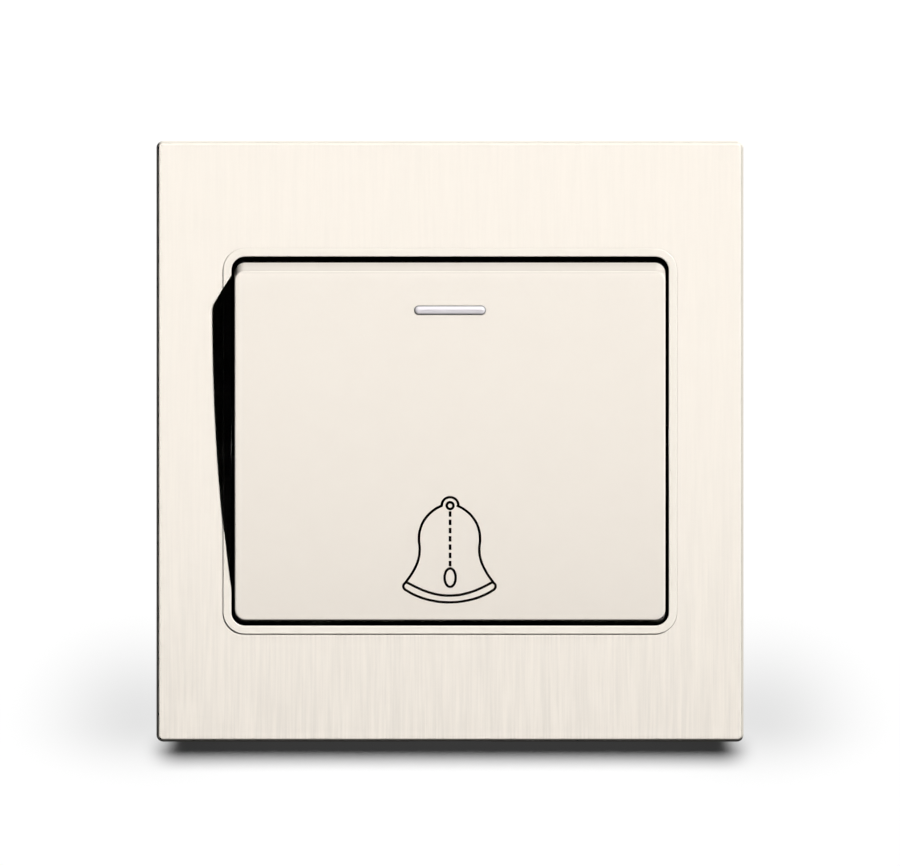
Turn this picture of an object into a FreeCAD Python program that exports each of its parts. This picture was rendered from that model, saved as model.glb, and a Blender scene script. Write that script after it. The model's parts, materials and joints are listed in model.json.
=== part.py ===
"""Doorbell push button for a flush wall box: a sprung rocker in a snap-on face plate.

Millimetres. X runs to the right, Y into the wall and Z up. The wall plane is Y = 0 and
the origin is the middle of the mounting frame's back, between its two wall screws.
Heights in front of the wall are called front, depths behind it are called depth.
"""
import FreeCAD, Part
import math
import os
import Sketcher

SIZES = (
    ("plate_width", 86.0, "face plate, side to side"),
    ("plate_height", 88.0, "face plate, bottom to top"),
    ("plate_front", 8.6, "face plate's face in front of the wall"),
    ("plate_skin", 1.6, "thickness of the face plate's face"),
    ("plate_wall", 1.6, "thickness of the face plate's sides"),
    ("plate_corner", 1.0, "radius of the face plate's corners"),
    ("plate_edge", 0.3, "rounding round the face plate's face"),
    ("plate_draft", -2.0, "degrees of the face plate's sides: they lean in towards the face"),
    ("plate_rim_gap", 0.2, "face plate's rim in front of the wall"),
    ("plate_fit", 0.05, "gap between the face plate and the lip"),
    ("plate_rib", 1.0, "thickness of the face plate's locating rib"),
    ("plate_rib_drop", 1.4, "how far the locating rib stands off the skin"),
    ("pry_width", 12.0, "width of the prising notch in the lower side"),
    ("pry_height", 1.4, "height of the prising notch"),
    ("side_border", 11.0, "plate beside the opening that the rocker stands in, lip included"),
    ("end_border", 17.0, "plate above and below that opening, lip included"),
    ("opening_corner", 2.0, "radius of the opening's corners"),
    ("lip_width", 1.2, "visible width of the lip"),
    ("lip_proud", 0.15, "lip in front of the face plate"),
    ("lip_depth", 2.95, "depth of the lip where it is narrowest"),
    ("lip_edge", 0.1, "rounding of the lip's front edges"),
    ("tube_relief", 0.7, "surround's opening is this much wider behind the lip"),
    ("tube_wall", 1.7, "thickness of the surround's tube"),
    ("tab_width", 6.0, "surround's fixing tabs"),
    ("tab_thick", 1.3, "thickness of the fixing tabs"),
    ("tab_across", 20.0, "fixing tabs from the middle line"),
    ("tab_short", 0.4, "fixing tabs end this far in front of the wall"),
    ("tab_fit", 0.1, "clearance round each fixing tab"),
    ("screw_relief_height", 12.0, "cut in the surround beside each wall screw"),
    ("screw_relief_front", 4.6, "front of that cut"),
    ("chassis_gap", 0.4, "gap between the mounting frame and the face plate's sides"),
    ("chassis_floor", 2.4, "thickness of the mounting frame"),
    ("chassis_corner", 1.0, "radius of the mounting frame's corners"),
    ("rim_front", 6.4, "front of the mounting frame's rim"),
    ("rim_wall", 1.4, "thickness of that rim"),
    ("rib_front", 5.4, "front of the mounting frame's ribs"),
    ("rib_thick", 1.2, "thickness of ribs"),
    ("rib_gap", 0.2, "ribs stop this far from the surround"),
    ("rib_across", 12.0, "upper and lower ribs from the middle line"),
    ("rib_up", 14.0, "side ribs from the middle line"),
    ("screw_pitch", 60.3, "between the wall screws"),
    ("slot_width", 4.4, "wall screw slots"),
    ("slot_length", 7.0, "wall screw slots"),
    ("seat_border", 2.6, "screw seat round each slot"),
    ("seat_depth", 1.0, "sunk depth of the screw seat"),
    ("hook_length", 7.0, "snap hooks of the face plate"),
    ("hook_reach", 0.9, "how far each hook stands in"),
    ("hook_back", 2.6, "back of each hook"),
    ("hook_front", 4.4, "front of each hook, its holding face"),
    ("hook_flat", 0.7, "flat tip of each hook behind that face"),
    ("hook_fit", 0.2, "clearance round each hook in its window"),
    ("hook_up", 24.0, "side hooks from the middle line"),
    ("hook_across", 22.0, "upper and lower hooks from the middle line"),
    ("case_bearing", 4.0, "mounting frame between its window and the case's outline"),
    ("window_corner", 1.5, "radius of the window's corners"),
    ("case_width", 46.0, "mechanism case"),
    ("case_height", 38.0, "mechanism case"),
    ("case_depth", 24.0, "mechanism case behind the wall plane"),
    ("case_wall", 1.6, "walls and floor of the mechanism case"),
    ("case_recess", 0.6, "case's rim is sunk this far into the mounting frame's back"),
    ("case_fit", 0.2, "gap round the case's rim in that recess"),
    ("case_corner", 1.5, "radius of the case's corners"),
    ("case_edge", 0.8, "chamfer round the case's back"),
    ("cover_flange", 1.2, "thickness of the cover's flange"),
    ("cover_fit", 0.2, "gap between the cover's pan and the window"),
    ("cover_wall", 1.4, "walls and floor of the cover's pan"),
    ("pan_depth", 4.2, "depth of the pan from the flange's front"),
    ("pivot_front", 1.8, "rocker's pivot in front of the wall"),
    ("pin_radius", 1.5, "cradle's trunnions"),
    ("pin_clearance", 0.05, "round each trunnion"),
    ("ear_room", 3.2, "between each ear and the side of the cover's pan"),
    ("ear_thick", 1.6, "thickness of each ear"),
    ("ear_round", 3.2, "radius of each ear round the pivot"),
    ("ear_gap", 1.4, "cradle's cheeks from the ears"),
    ("cover_screw_edge", 2.4, "cover screws from the edges of the case"),
    ("cover_screw_radius", 1.0, "shank of a cover screw"),
    ("cover_screw_head", 1.8, "radius of its head"),
    ("cover_screw_head_high", 1.3, "height of its head"),
    ("cover_screw_length", 13.0, "shank under the head"),
    ("screw_fit", 0.02, "clearance of a screw in its threaded hole"),
    ("screw_pass", 0.2, "clearance of a screw in a plain hole"),
    ("boss_wall", 1.2, "plastic round each screw hole"),
    ("rest_tilt", 4.0, "degrees that the rocker leans at rest, and again when pressed"),
    ("side_gap", 0.5, "gap at each side of the rocker"),
    ("end_gap", 0.9, "gap above and below the rocker at the lip's front"),
    ("face_radius", 357.0, "radius of the rocker's curved face"),
    ("skirt_back", 2.8, "rocker's back edge in front of its pivot"),
    ("rocker_wall", 1.5, "rocker's sides"),
    ("rocker_skin", 1.8, "rocker's face"),
    ("rocker_corner", 1.5, "radius of the rocker's corners"),
    ("rocker_edge", 0.25, "rounding round the rocker's face"),
    ("rocker_rib_back", 6.0, "back of the rocker's ribs in front of its pivot"),
    ("rocker_rib_across", 20.0, "long ribs of the rocker from the middle line"),
    ("rocker_rib_up", 14.0, "cross ribs of the rocker from the middle line"),
    ("lens_width", 10.5, "indicator bar"),
    ("lens_height", 1.36, "indicator bar"),
    ("lens_inset", 6.27, "indicator bar below the rocker's upper end"),
    ("lens_proud", 0.45, "indicator bar above the rocker's face"),
    ("lens_fit", 0.03, "clearance round the indicator bar"),
    ("lens_edge", 0.6, "rounding of the indicator bar"),
    ("lens_seat_over", 0.15, "seat of the bar's flange in front of the back of the rocker's face"),
    ("lens_seat_border", 0.5, "seat of the bar's flange, wider than the flange"),
    ("lens_flange", 1.0, "width of the bar's flange"),
    ("lens_flange_thick", 0.8, "thickness of the bar's flange"),
    ("cradle_height", 26.0, "cradle's plate, bottom to top"),
    ("cradle_back", 3.4, "back of the cradle's plate in front of the pivot"),
    ("cradle_thick", 1.2, "thickness of the cradle's plate"),
    ("cradle_corner", 1.0, "corners of the cradle's plate and of its window"),
    ("cradle_border", 1.0, "cradle's plate between its window and the parts beside it"),
    ("cheek_thick", 1.4, "cradle's cheeks"),
    ("cheek_round", 2.1, "cheeks round the pivot"),
    ("cheek_half", 3.2, "half the width of a cheek at the plate"),
    ("pin_over", 0.4, "trunnions stand past the ears"),
    ("nose_height", 9.0, "plunger's axis above the pivot"),
    ("nose_back", 1.6, "tip of the nose behind the pivot"),
    ("nose_half", 1.5, "half the thickness of the nose"),
    ("nose_gap", 0.03, "between the nose and the plunger"),
    ("clip_thick", 1.4, "clip arms of the rocker"),
    ("clip_gap", 0.1, "clip arms from the cradle's plate"),
    ("clip_reach", 0.6, "barb of each clip arm"),
    ("clip_drop", 0.8, "clip arms reach behind the cradle's plate"),
    ("clip_near", 7.0, "clip arms from the middle line, nearer side"),
    ("clip_far", 11.0, "clip arms from the middle line, farther side"),
    ("locator_across", 8.0, "locating ribs over the cradle"),
    ("plunger_radius", 3.0, "plunger in its guide"),
    ("plunger_clearance", 0.05, "round the plunger in its guide"),
    ("plunger_chamfer", 0.4, "bevel on the plunger's head"),
    ("guide_wall", 1.55, "wall of the plunger's guide"),
    ("guide_depth", 6.2, "guide's end behind the wall plane"),
    ("stop_gap", 0.05, "between the guide and the plunger's shoulder"),
    ("shoulder_radius", 4.0, "plunger's shoulder"),
    ("shoulder_thick", 1.0, "plunger's shoulder"),
    ("stem_radius", 1.5, "plunger's stem"),
    ("stem_clearance", 0.1, "between the stem and the bridge"),
    ("collar_radius", 2.6, "plunger's collar behind the bridge"),
    ("collar_thick", 1.0, "plunger's collar"),
    ("stem_tail", 1.7, "stem behind the collar, inside the return spring"),
    ("contact_spring_length", 2.35, "spring on the bridge"),
    ("contact_spring_radius", 2.3, "its mean radius"),
    ("contact_spring_wire", 0.2, "its wire's radius"),
    ("contact_spring_pitch", 0.9, "its pitch"),
    ("return_spring_length", 7.1, "return spring at rest"),
    ("return_spring_radius", 2.6, "its mean radius"),
    ("return_spring_wire", 0.25, "its wire's radius"),
    ("return_spring_pitch", 1.25, "its pitch"),
    ("spring_seat_radius", 3.6, "boss under the return spring"),
    ("spring_pin_radius", 2.0, "pin inside the return spring"),
    ("spring_pin_length", 1.2, "length of that pin"),
    ("bridge_width", 22.0, "moving bridge"),
    ("bridge_height", 5.0, "moving bridge"),
    ("bridge_thick", 0.7, "moving bridge"),
    ("bridge_corner", 1.0, "its corners"),
    ("tip_across", 8.0, "contact tips from the middle line"),
    ("tip_radius", 1.5, "contact tips"),
    ("tip_thick", 0.6, "contact tips"),
    ("tip_edge", 0.25, "bevel round the contact tips"),
    ("contact_gap", 0.03, "left between the tips when pressed"),
    ("strip_thick", 0.7, "fixed contact strips"),
    ("strip_width", 4.2, "fixed contact strips"),
    ("strip_inner", 6.0, "inner end of each strip from the middle line"),
    ("strip_gap", 1.0, "between each strip and the case's side"),
    ("strip_foot", 2.0, "lower end of each strip below the wire"),
    ("terminal_gap", 0.5, "between each terminal block and the case's side"),
    ("terminal_inset", 8.4, "wire above the case's lower side"),
    ("terminal_width", 7.0, "terminal block"),
    ("terminal_height", 8.0, "terminal block"),
    ("wire_radius", 1.5, "wire bore of the terminal block"),
    ("wire_end_wall", 2.4, "brass in front of the wire bore"),
    ("wire_funnel", 0.3, "case's wire hole is this much larger"),
    ("clamp_radius", 1.75, "shank of a clamp screw"),
    ("clamp_head", 2.6, "radius of its head"),
    ("clamp_head_high", 1.4, "height of its head"),
    ("clamp_bevel", 0.4, "bevel round its head"),
    ("clamp_access", 3.0, "radius of the case's hole over it"),
    ("pocket_wall", 1.2, "case's walls round the terminal block"),
    ("pocket_gap", 0.1, "between those walls and the block"),
    ("pocket_short", 0.8, "those walls end this far behind the strips"),
    ("pillar_length", 3.6, "pillar under each fixed contact"),
    ("pillar_height", 3.8, "pillar under each fixed contact"),
    ("holder_size", 3.0, "cover's posts over the strips"),
    ("recess_wide", 0.6, "width of a screw's recess"),
    ("recess_deep", 0.7, "depth of a screw's recess"),
    ("recess_share", 0.6, "half a cross recess as a share of the head's radius"),
    ("sunk", 0.5, "how far a feature is sunk into the one that it stands on"),
    ("through", 1.0, "how far a cut runs on past what it cuts"),
)

WIRE_SIDES = 6
TOUCH = 0.01

document = FreeCAD.newDocument("doorbell_push_button")
sheet = document.addObject("Spreadsheet::Sheet", "sizes")
for row, (alias, number, meaning) in enumerate(SIZES, start=1):
    sheet.set(f"A{row}", meaning)
    sheet.set(f"B{row}", str(number))
    sheet.setAlias(f"B{row}", alias)
document.recompute()

# Places worked out from the sizes, as expressions on the sheet

LIP_FRONT = "(sizes.plate_front + sizes.lip_proud)"
LIP_BACK = f"({LIP_FRONT} - sizes.lip_depth)"
SKIN_BACK = "(sizes.plate_front - sizes.plate_skin)"
OPENING_WIDE = "(sizes.plate_width - 2 * sizes.side_border)"
OPENING_HIGH = "(sizes.plate_height - 2 * sizes.end_border)"
LIP_WIDE = f"({OPENING_WIDE} + 2 * sizes.lip_width)"
LIP_HIGH = f"({OPENING_HIGH} + 2 * sizes.lip_width)"
TUBE_WIDE = f"({OPENING_WIDE} + 2 * sizes.tube_relief)"
TUBE_HIGH = f"({OPENING_HIGH} + 2 * sizes.tube_relief)"
CHASSIS_WIDE = "(sizes.plate_width - 2 * sizes.plate_wall - 2 * sizes.chassis_gap)"
CHASSIS_HIGH = "(sizes.plate_height - 2 * sizes.plate_wall - 2 * sizes.chassis_gap)"
FLANGE_FRONT = "(sizes.chassis_floor + sizes.cover_flange)"
PAN_FLOOR = f"({FLANGE_FRONT} - sizes.pan_depth)"
WINDOW_WIDE = "(sizes.case_width - 2 * sizes.case_bearing)"
WINDOW_HIGH = "(sizes.case_height - 2 * sizes.case_bearing)"
PAN_WIDE = f"({WINDOW_WIDE} - 2 * sizes.cover_fit)"
PAN_HIGH = f"({WINDOW_HIGH} - 2 * sizes.cover_fit)"
EAR_OUTSIDE = f"({PAN_WIDE} / 2 - sizes.cover_wall - sizes.ear_room)"
EAR_INSIDE = f"({EAR_OUTSIDE} - sizes.ear_thick)"
SCREW_ACROSS = "(sizes.case_width / 2 - sizes.cover_screw_edge)"
SCREW_UP = "(sizes.case_height / 2 - sizes.cover_screw_edge)"
CASE_INSIDE_WIDE = "(sizes.case_width - 2 * sizes.case_wall)"
CASE_INSIDE_HIGH = "(sizes.case_height - 2 * sizes.case_wall)"
REACH = f"({OPENING_HIGH} / 2 - sizes.end_gap)"
RISE = f"({LIP_FRONT} - sizes.pivot_front)"
SWEEP = f"sqrt({REACH} ^ 2 + {RISE} ^ 2)"
CREST_FRONT = f"({RISE} * cos(sizes.rest_tilt) + {REACH} * sin(sizes.rest_tilt))"
CREST_HALF = f"({REACH} * cos(sizes.rest_tilt) - {RISE} * sin(sizes.rest_tilt))"
ROCKER_WIDE = f"({OPENING_WIDE} - 2 * sizes.side_gap)"
LENS_UP = f"({REACH} - sizes.lens_inset)"
LENS_SEAT = f"({CREST_FRONT} - sizes.rocker_skin + sizes.lens_seat_over)"
FACE_CENTRE = f"(sqrt(sizes.face_radius ^ 2 - {CREST_HALF} ^ 2) - {CREST_FRONT})"
CRADLE_FRONT = "(sizes.cradle_back + sizes.cradle_thick)"
CRADLE_HALF = f"({EAR_INSIDE} - sizes.ear_gap)"
TRAVEL = "(2 * sizes.nose_height * sin(sizes.rest_tilt))"
PLUNGER_FRONT = (
    "(sizes.pivot_front - sizes.nose_back * cos(sizes.rest_tilt)"
    " + sizes.nose_height * sin(sizes.rest_tilt) - sizes.nose_gap)"
)
SHOULDER_FRONT = "(sizes.guide_depth + sizes.stop_gap)"
SHOULDER_BACK = f"({SHOULDER_FRONT} + sizes.shoulder_thick)"
BRIDGE_FRONT = f"({SHOULDER_BACK} + sizes.contact_spring_length)"
BRIDGE_BACK = f"({BRIDGE_FRONT} + sizes.bridge_thick)"
COLLAR_BACK = f"({BRIDGE_BACK} + sizes.collar_thick)"
STEM_END = f"({COLLAR_BACK} + sizes.stem_tail)"
TIP_BACK = f"({BRIDGE_BACK} + sizes.tip_thick)"
FIXED_TIP_FRONT = f"({TIP_BACK} + {TRAVEL} + sizes.contact_gap)"
STRIP_FRONT = f"({FIXED_TIP_FRONT} + sizes.tip_thick)"
STRIP_BACK = f"({STRIP_FRONT} + sizes.strip_thick)"
SPRING_SEAT = f"({COLLAR_BACK} + sizes.return_spring_length)"
CASE_FLOOR = "(sizes.case_depth - sizes.case_wall)"
STRIP_OUTSIDE = f"({CASE_INSIDE_WIDE} / 2 - sizes.strip_gap)"
WIRE_ACROSS = f"({CASE_INSIDE_WIDE} / 2 - sizes.terminal_gap - sizes.terminal_width / 2)"
WIRE_DROP = f"({CASE_INSIDE_HIGH} / 2 - sizes.terminal_inset)"
CLAMP_DEPTH = f"(({STRIP_BACK} + {CASE_FLOOR}) / 2)"


def value(expression):
    """The number that an expression gives with the sheet's present sizes."""
    return float(sheet.evalExpression(expression))


# Drawing in sketches

def base_planes(body):
    return {feature.Role: feature for feature in body.Origin.OriginFeatures}


def place_along(sketch, edge, point, kind, expression):
    """Tie a point of an edge along one axis; a zero ties it to the other axis instead."""
    number = value(expression)
    if abs(number) < 1e-9:
        other_axis = -2 if kind == "DistanceX" else -1
        sketch.addConstraint(Sketcher.Constraint("PointOnObject", edge, point, other_axis))
        return
    index = sketch.addConstraint(Sketcher.Constraint(kind, -1, 1, edge, point, number))
    sketch.setExpression(f"Constraints[{index}]", expression)


def place_point(sketch, edge, point, across, up):
    place_along(sketch, edge, point, "DistanceX", across)
    place_along(sketch, edge, point, "DistanceY", up)


def disc(across, up, radius):
    """A circle about a point."""
    def draw(sketch):
        centre = FreeCAD.Vector(value(across), value(up), 0)
        edge = sketch.addGeometry(Part.Circle(centre, FreeCAD.Vector(0, 0, 1), value(radius)), False)
        index = sketch.addConstraint(Sketcher.Constraint("Radius", edge, value(radius)))
        sketch.setExpression(f"Constraints[{index}]", radius)
        place_point(sketch, edge, 3, across, up)
    return draw


def profile(points, arcs=None):
    """A closed outline through points; arcs maps an edge's number to its radius.

    A positive radius bulges to the left of the way round, a negative one to the right.
    """
    arcs = arcs or {}

    def draw(sketch):
        corners = [FreeCAD.Vector(value(across), value(up), 0) for across, up in points]
        edges = []
        for number, start in enumerate(corners):
            end = corners[(number + 1) % len(corners)]
            if number in arcs:
                edges.append(add_arc(sketch, start, end, arcs[number], points[number]))
            else:
                edges.append((sketch.addGeometry(Part.LineSegment(start, end), False), 1, 2))
        for number, (edge, first, last) in enumerate(edges):
            following, its_first, its_last = edges[(number + 1) % len(edges)]
            sketch.addConstraint(Sketcher.Constraint("Coincident", edge, last, following, its_first))
            place_point(sketch, edge, first, *points[number])
    return draw


def add_arc(sketch, start, end, radius, place):
    """An arc between two points, with its own start and end in order.

    A half circle is tied by its middle, which lies on its upright or level chord.
    """
    left = value(radius) > 0
    size = abs(value(radius))
    chord = end - start
    middle = (start + end) * 0.5
    normal = FreeCAD.Vector(-chord.y, chord.x, 0).normalize()
    drop = math.sqrt(max(size ** 2 - (chord.Length / 2) ** 2, 0.0))
    half_circle = drop < 1e-6 * size
    bulge = size - drop
    crown = middle + normal * (bulge if left else -bulge)
    edge = sketch.addGeometry(Part.Arc(start, crown, end), False)
    if not half_circle:
        index = sketch.addConstraint(Sketcher.Constraint("Radius", edge, size))
        sketch.setExpression(f"Constraints[{index}]", f"abs({radius})")
    elif abs(chord.x) < abs(chord.y):
        place_along(sketch, edge, 3, "DistanceX", place[0])
    else:
        place_along(sketch, edge, 3, "DistanceY", place[1])
    return (edge, 2, 1) if left else (edge, 1, 2)


def area(left, right, low, high, corner=None):
    """A rectangle between four places, with rounded corners if a radius is given."""
    if corner is None:
        return profile(((left, low), (right, low), (right, high), (left, high)))
    inside_left = f"({left} + {corner})"
    inside_right = f"({right} - {corner})"
    inside_low = f"({low} + {corner})"
    inside_high = f"({high} - {corner})"
    points = (
        (inside_left, low), (inside_right, low), (right, inside_low), (right, inside_high),
        (inside_right, high), (inside_left, high), (left, inside_high), (left, inside_low),
    )
    turn = f"-({corner})"
    return profile(points, {1: turn, 3: turn, 5: turn, 7: turn})


def centred(width, height, corner=None):
    """A rectangle about the sketch's own middle."""
    return area(f"(-{width} / 2)", f"({width} / 2)", f"(-{height} / 2)", f"({height} / 2)", corner)


def at_both_sides(inner, outer, low, high, corner=None):
    """The same rectangle to the right and to the left of the middle line."""
    return (
        area(inner, outer, low, high, corner),
        area(f"(-{outer})", f"(-{inner})", low, high, corner),
    )


def at_four_corners(near_across, far_across, near_up, far_up):
    """The same rectangle in all four quarters."""
    upper = at_both_sides(near_across, far_across, near_up, far_up)
    lower = at_both_sides(near_across, far_across, f"(-{far_up})", f"(-{near_up})")
    return upper + lower


def discs_at_four_corners(across, up, radius):
    places = ((across, up), (f"(-{across})", up), (across, f"(-{up})"), (f"(-{across})", f"(-{up})"))
    return tuple(disc(one_across, one_up, radius) for one_across, one_up in places)


def slot(across, up, length, width):
    """A slot with round ends, lying along the sketch's first axis."""
    reach = f"(({length} - {width}) / 2)"
    half = f"({width} / 2)"
    points = (
        (f"({across} - {reach})", f"({up} - {half})"), (f"({across} + {reach})", f"({up} - {half})"),
        (f"({across} + {reach})", f"({up} + {half})"), (f"({across} - {reach})", f"({up} + {half})"),
    )
    return profile(points, {1: f"-{half}", 3: f"-{half}"})


# Features of a body

def new_body(name):
    body = document.addObject("PartDesign::Body", name)
    body.Label = name
    return body


def new_sketch(body, name, plane, offset, shapes):
    sketch = body.newObject("Sketcher::SketchObject", name)
    sketch.AttachmentSupport = (base_planes(body)[plane], [""])
    sketch.MapMode = "FlatFace"
    sketch.setExpression("AttachmentOffset.Base.z", offset)
    for draw in shapes:
        draw(sketch)
    return sketch


def add(body, name, plane, start, end, *shapes):
    """Solid between two heights of a plane: XZ counts to the front, YZ to the right, XY up."""
    pad = body.newObject("PartDesign::Pad", name)
    pad.Profile = new_sketch(body, f"{name}_sketch", plane, start, shapes)
    pad.setExpression("Length", f"{end} - {start}")
    document.recompute()
    return pad


def lean_in(pad, degrees):
    """Gives a pad's sides a slope, so that it leaves its mould."""
    pad.setExpression("TaperAngle", degrees)
    document.recompute()


def cut(body, name, plane, start, end, *shapes):
    """A cut between two heights of a plane, counted as for a solid."""
    pocket = body.newObject("PartDesign::Pocket", name)
    pocket.Profile = new_sketch(body, f"{name}_sketch", plane, start, shapes)
    pocket.Reversed = True
    pocket.setExpression("Length", f"{end} - {start}")
    document.recompute()
    return pocket


def turned(body, name, shape, axis="V_Axis", plane="XY_Plane"):
    """A turned solid about one axis of its sketch."""
    revolution = body.newObject("PartDesign::Revolution", name)
    revolution.Profile = new_sketch(body, f"{name}_sketch", plane, "0", (shape,))
    revolution.ReferenceAxis = (revolution.Profile[0], [axis])
    revolution.Angle = 360.0
    document.recompute()
    return revolution


def mirrored(body, name, features, plane):
    mirror = body.newObject("PartDesign::Mirrored", name)
    mirror.Originals = features
    mirror.MirrorPlane = (base_planes(body)[plane], [""])
    body.Tip = mirror
    document.recompute()
    return mirror


def edges_where(shape, test):
    """Names of a shape's edges that pass a test of the edge and its middle."""
    names = []
    for number, edge in enumerate(shape.Edges, start=1):
        middle = edge.valueAt((edge.FirstParameter + edge.LastParameter) / 2)
        if test(edge, middle):
            names.append(f"Edge{number}")
    return names


def dress(body, kind, name, size, test):
    """A fillet or chamfer along the edges that pass a test."""
    base = body.Tip
    feature = body.newObject(f"PartDesign::{kind}", name)
    feature.Base = (base, edges_where(base.Shape, test))
    feature.setExpression("Radius" if kind == "Fillet" else "Size", size)
    document.recompute()
    return feature


def rides_on_rocker(body):
    """Puts a body drawn about the pivot at its place, leaning as it does at rest."""
    body.Placement = FreeCAD.Placement(FreeCAD.Vector(), FreeCAD.Rotation(FreeCAD.Vector(1, 0, 0), 1))
    body.setExpression("Placement.Base.y", "-sizes.pivot_front")
    body.setExpression("Placement.Rotation.Angle", "sizes.rest_tilt")


def stands_on_plunger_axis(body):
    body.setExpression("Placement.Base.z", "sizes.nose_height")


# The face plate and what it snaps to

def face_plate():
    body = new_body("face_plate")
    block = add(body, "Block", "XZ_Plane", "sizes.plate_rim_gap", "sizes.plate_front",
                centred("sizes.plate_width", "sizes.plate_height", "sizes.plate_corner"))
    lean_in(block, "sizes.plate_draft")
    inner_wide = "(sizes.plate_width - 2 * sizes.plate_wall)"
    inner_high = "(sizes.plate_height - 2 * sizes.plate_wall)"
    cut(body, "Hollow", "XZ_Plane", "0", SKIN_BACK, centred(inner_wide, inner_high))
    cut(body, "Opening", "XZ_Plane", f"({SKIN_BACK} - sizes.through)", "(sizes.plate_front + sizes.through)",
        centred(f"({LIP_WIDE} + 2 * sizes.plate_fit)", f"({LIP_HIGH} + 2 * sizes.plate_fit)",
                "(sizes.opening_corner + sizes.lip_width + sizes.plate_fit)"))
    half_wide = f"({CHASSIS_WIDE} / 2 - sizes.rim_wall - sizes.rib_gap)"
    half_high = f"({CHASSIS_HIGH} / 2 - sizes.rim_wall - sizes.rib_gap)"
    add(body, "Locating_rib", "XZ_Plane",
        f"({SKIN_BACK} - sizes.plate_rib_drop)", f"({SKIN_BACK} + sizes.sunk)",
        centred(f"(2 * {half_wide})", f"(2 * {half_high})"),
        centred(f"(2 * {half_wide} - 2 * sizes.plate_rib)", f"(2 * {half_high} - 2 * sizes.plate_rib)"))
    for name, plane, side, middle in (
            ("Side_hook", "XY_Plane", inner_wide, "sizes.hook_up"),
            ("End_hook", "YZ_Plane", inner_high, "sizes.hook_across")):
        add_hooks(body, name, plane, side, middle)
    cut(body, "Prising_notch", "XZ_Plane", "0", "(sizes.plate_rim_gap + sizes.pry_height)",
        area("(-sizes.pry_width / 2)", "(sizes.pry_width / 2)",
             "(-sizes.plate_height / 2 - sizes.through)", "(-sizes.plate_height / 2 + sizes.plate_wall)"))
    front = value("sizes.plate_front")
    half_width = value("sizes.plate_width / 2")
    half_height = value("sizes.plate_height / 2")

    def outer_front(edge, middle):
        outside = abs(middle.x) > half_width - 1 or abs(middle.z) > half_height - 1
        return outside and abs(middle.y + front) < TOUCH

    dress(body, "Fillet", "Face_edge", "sizes.plate_edge", outer_front)
    return body


def add_hooks(body, name, plane, span, middle):
    """Snap hooks on two facing walls: a ramp at the back, a flat holding face in front."""
    root = f"({span} / 2 + sizes.sunk)"
    tip = f"({span} / 2 - sizes.hook_reach)"
    heel = f"({span} / 2)"
    if plane == "XY_Plane":
        points = ((root, "-sizes.hook_back"), (heel, "-sizes.hook_back"),
                  (tip, "(sizes.hook_flat - sizes.hook_front)"),
                  (tip, "-sizes.hook_front"), (root, "-sizes.hook_front"))
        across = "YZ_Plane"
    else:
        points = (("-sizes.hook_back", root), ("-sizes.hook_back", heel),
                  ("(sizes.hook_flat - sizes.hook_front)", tip),
                  ("-sizes.hook_front", tip), ("-sizes.hook_front", root))
        across = "XY_Plane"
    low = f"({middle} - sizes.hook_length / 2)"
    high = f"({middle} + sizes.hook_length / 2)"
    upper = add(body, name, plane, low, high, profile(points))
    lower = add(body, f"{name}_other_end", plane, f"(-{high})", f"(-{low})", profile(points))
    mirrored(body, f"{name}_other_side", [upper, lower], across)


def rocker_surround():
    body = new_body("rocker_surround")
    add(body, "Lip", "XZ_Plane", LIP_BACK, LIP_FRONT,
        centred(LIP_WIDE, LIP_HIGH, "(sizes.opening_corner + sizes.lip_width)"),
        centred(OPENING_WIDE, OPENING_HIGH, "sizes.opening_corner"))
    inner_corner = "(sizes.opening_corner + sizes.tube_relief)"
    add(body, "Tube", "XZ_Plane", "sizes.chassis_floor", SKIN_BACK,
        centred(f"({TUBE_WIDE} + 2 * sizes.tube_wall)", f"({TUBE_HIGH} + 2 * sizes.tube_wall)",
                f"({inner_corner} + sizes.tube_wall)"),
        centred(TUBE_WIDE, TUBE_HIGH, inner_corner))
    side = f"({TUBE_WIDE} / 2 + sizes.tube_wall + sizes.through)"
    cut(body, "Screw_relief", "YZ_Plane", f"(-{side})", side,
        area("-sizes.screw_relief_front", "(sizes.through - sizes.chassis_floor)",
             "(-sizes.screw_relief_height / 2)", "(sizes.screw_relief_height / 2)"))
    tab_low, tab_high, tab_left, tab_right = tab_limits("0")
    add(body, "Fixing_tabs", "XZ_Plane", "sizes.tab_short", "(sizes.chassis_floor + sizes.sunk)",
        *at_four_corners(tab_left, tab_right, tab_low, tab_high))
    front = value(LIP_FRONT)

    def lip_front(edge, middle):
        return abs(middle.y + front) < TOUCH

    dress(body, "Fillet", "Lip_edges", "sizes.lip_edge", lip_front)
    return body


def tab_limits(grown):
    """Low, high, left and right of the upper right fixing tab, grown all round."""
    middle = f"({TUBE_HIGH} / 2 + sizes.tube_wall / 2)"
    return (f"({middle} - sizes.tab_thick / 2 - {grown})", f"({middle} + sizes.tab_thick / 2 + {grown})",
            f"(sizes.tab_across - sizes.tab_width / 2 - {grown})",
            f"(sizes.tab_across + sizes.tab_width / 2 + {grown})")


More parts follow.
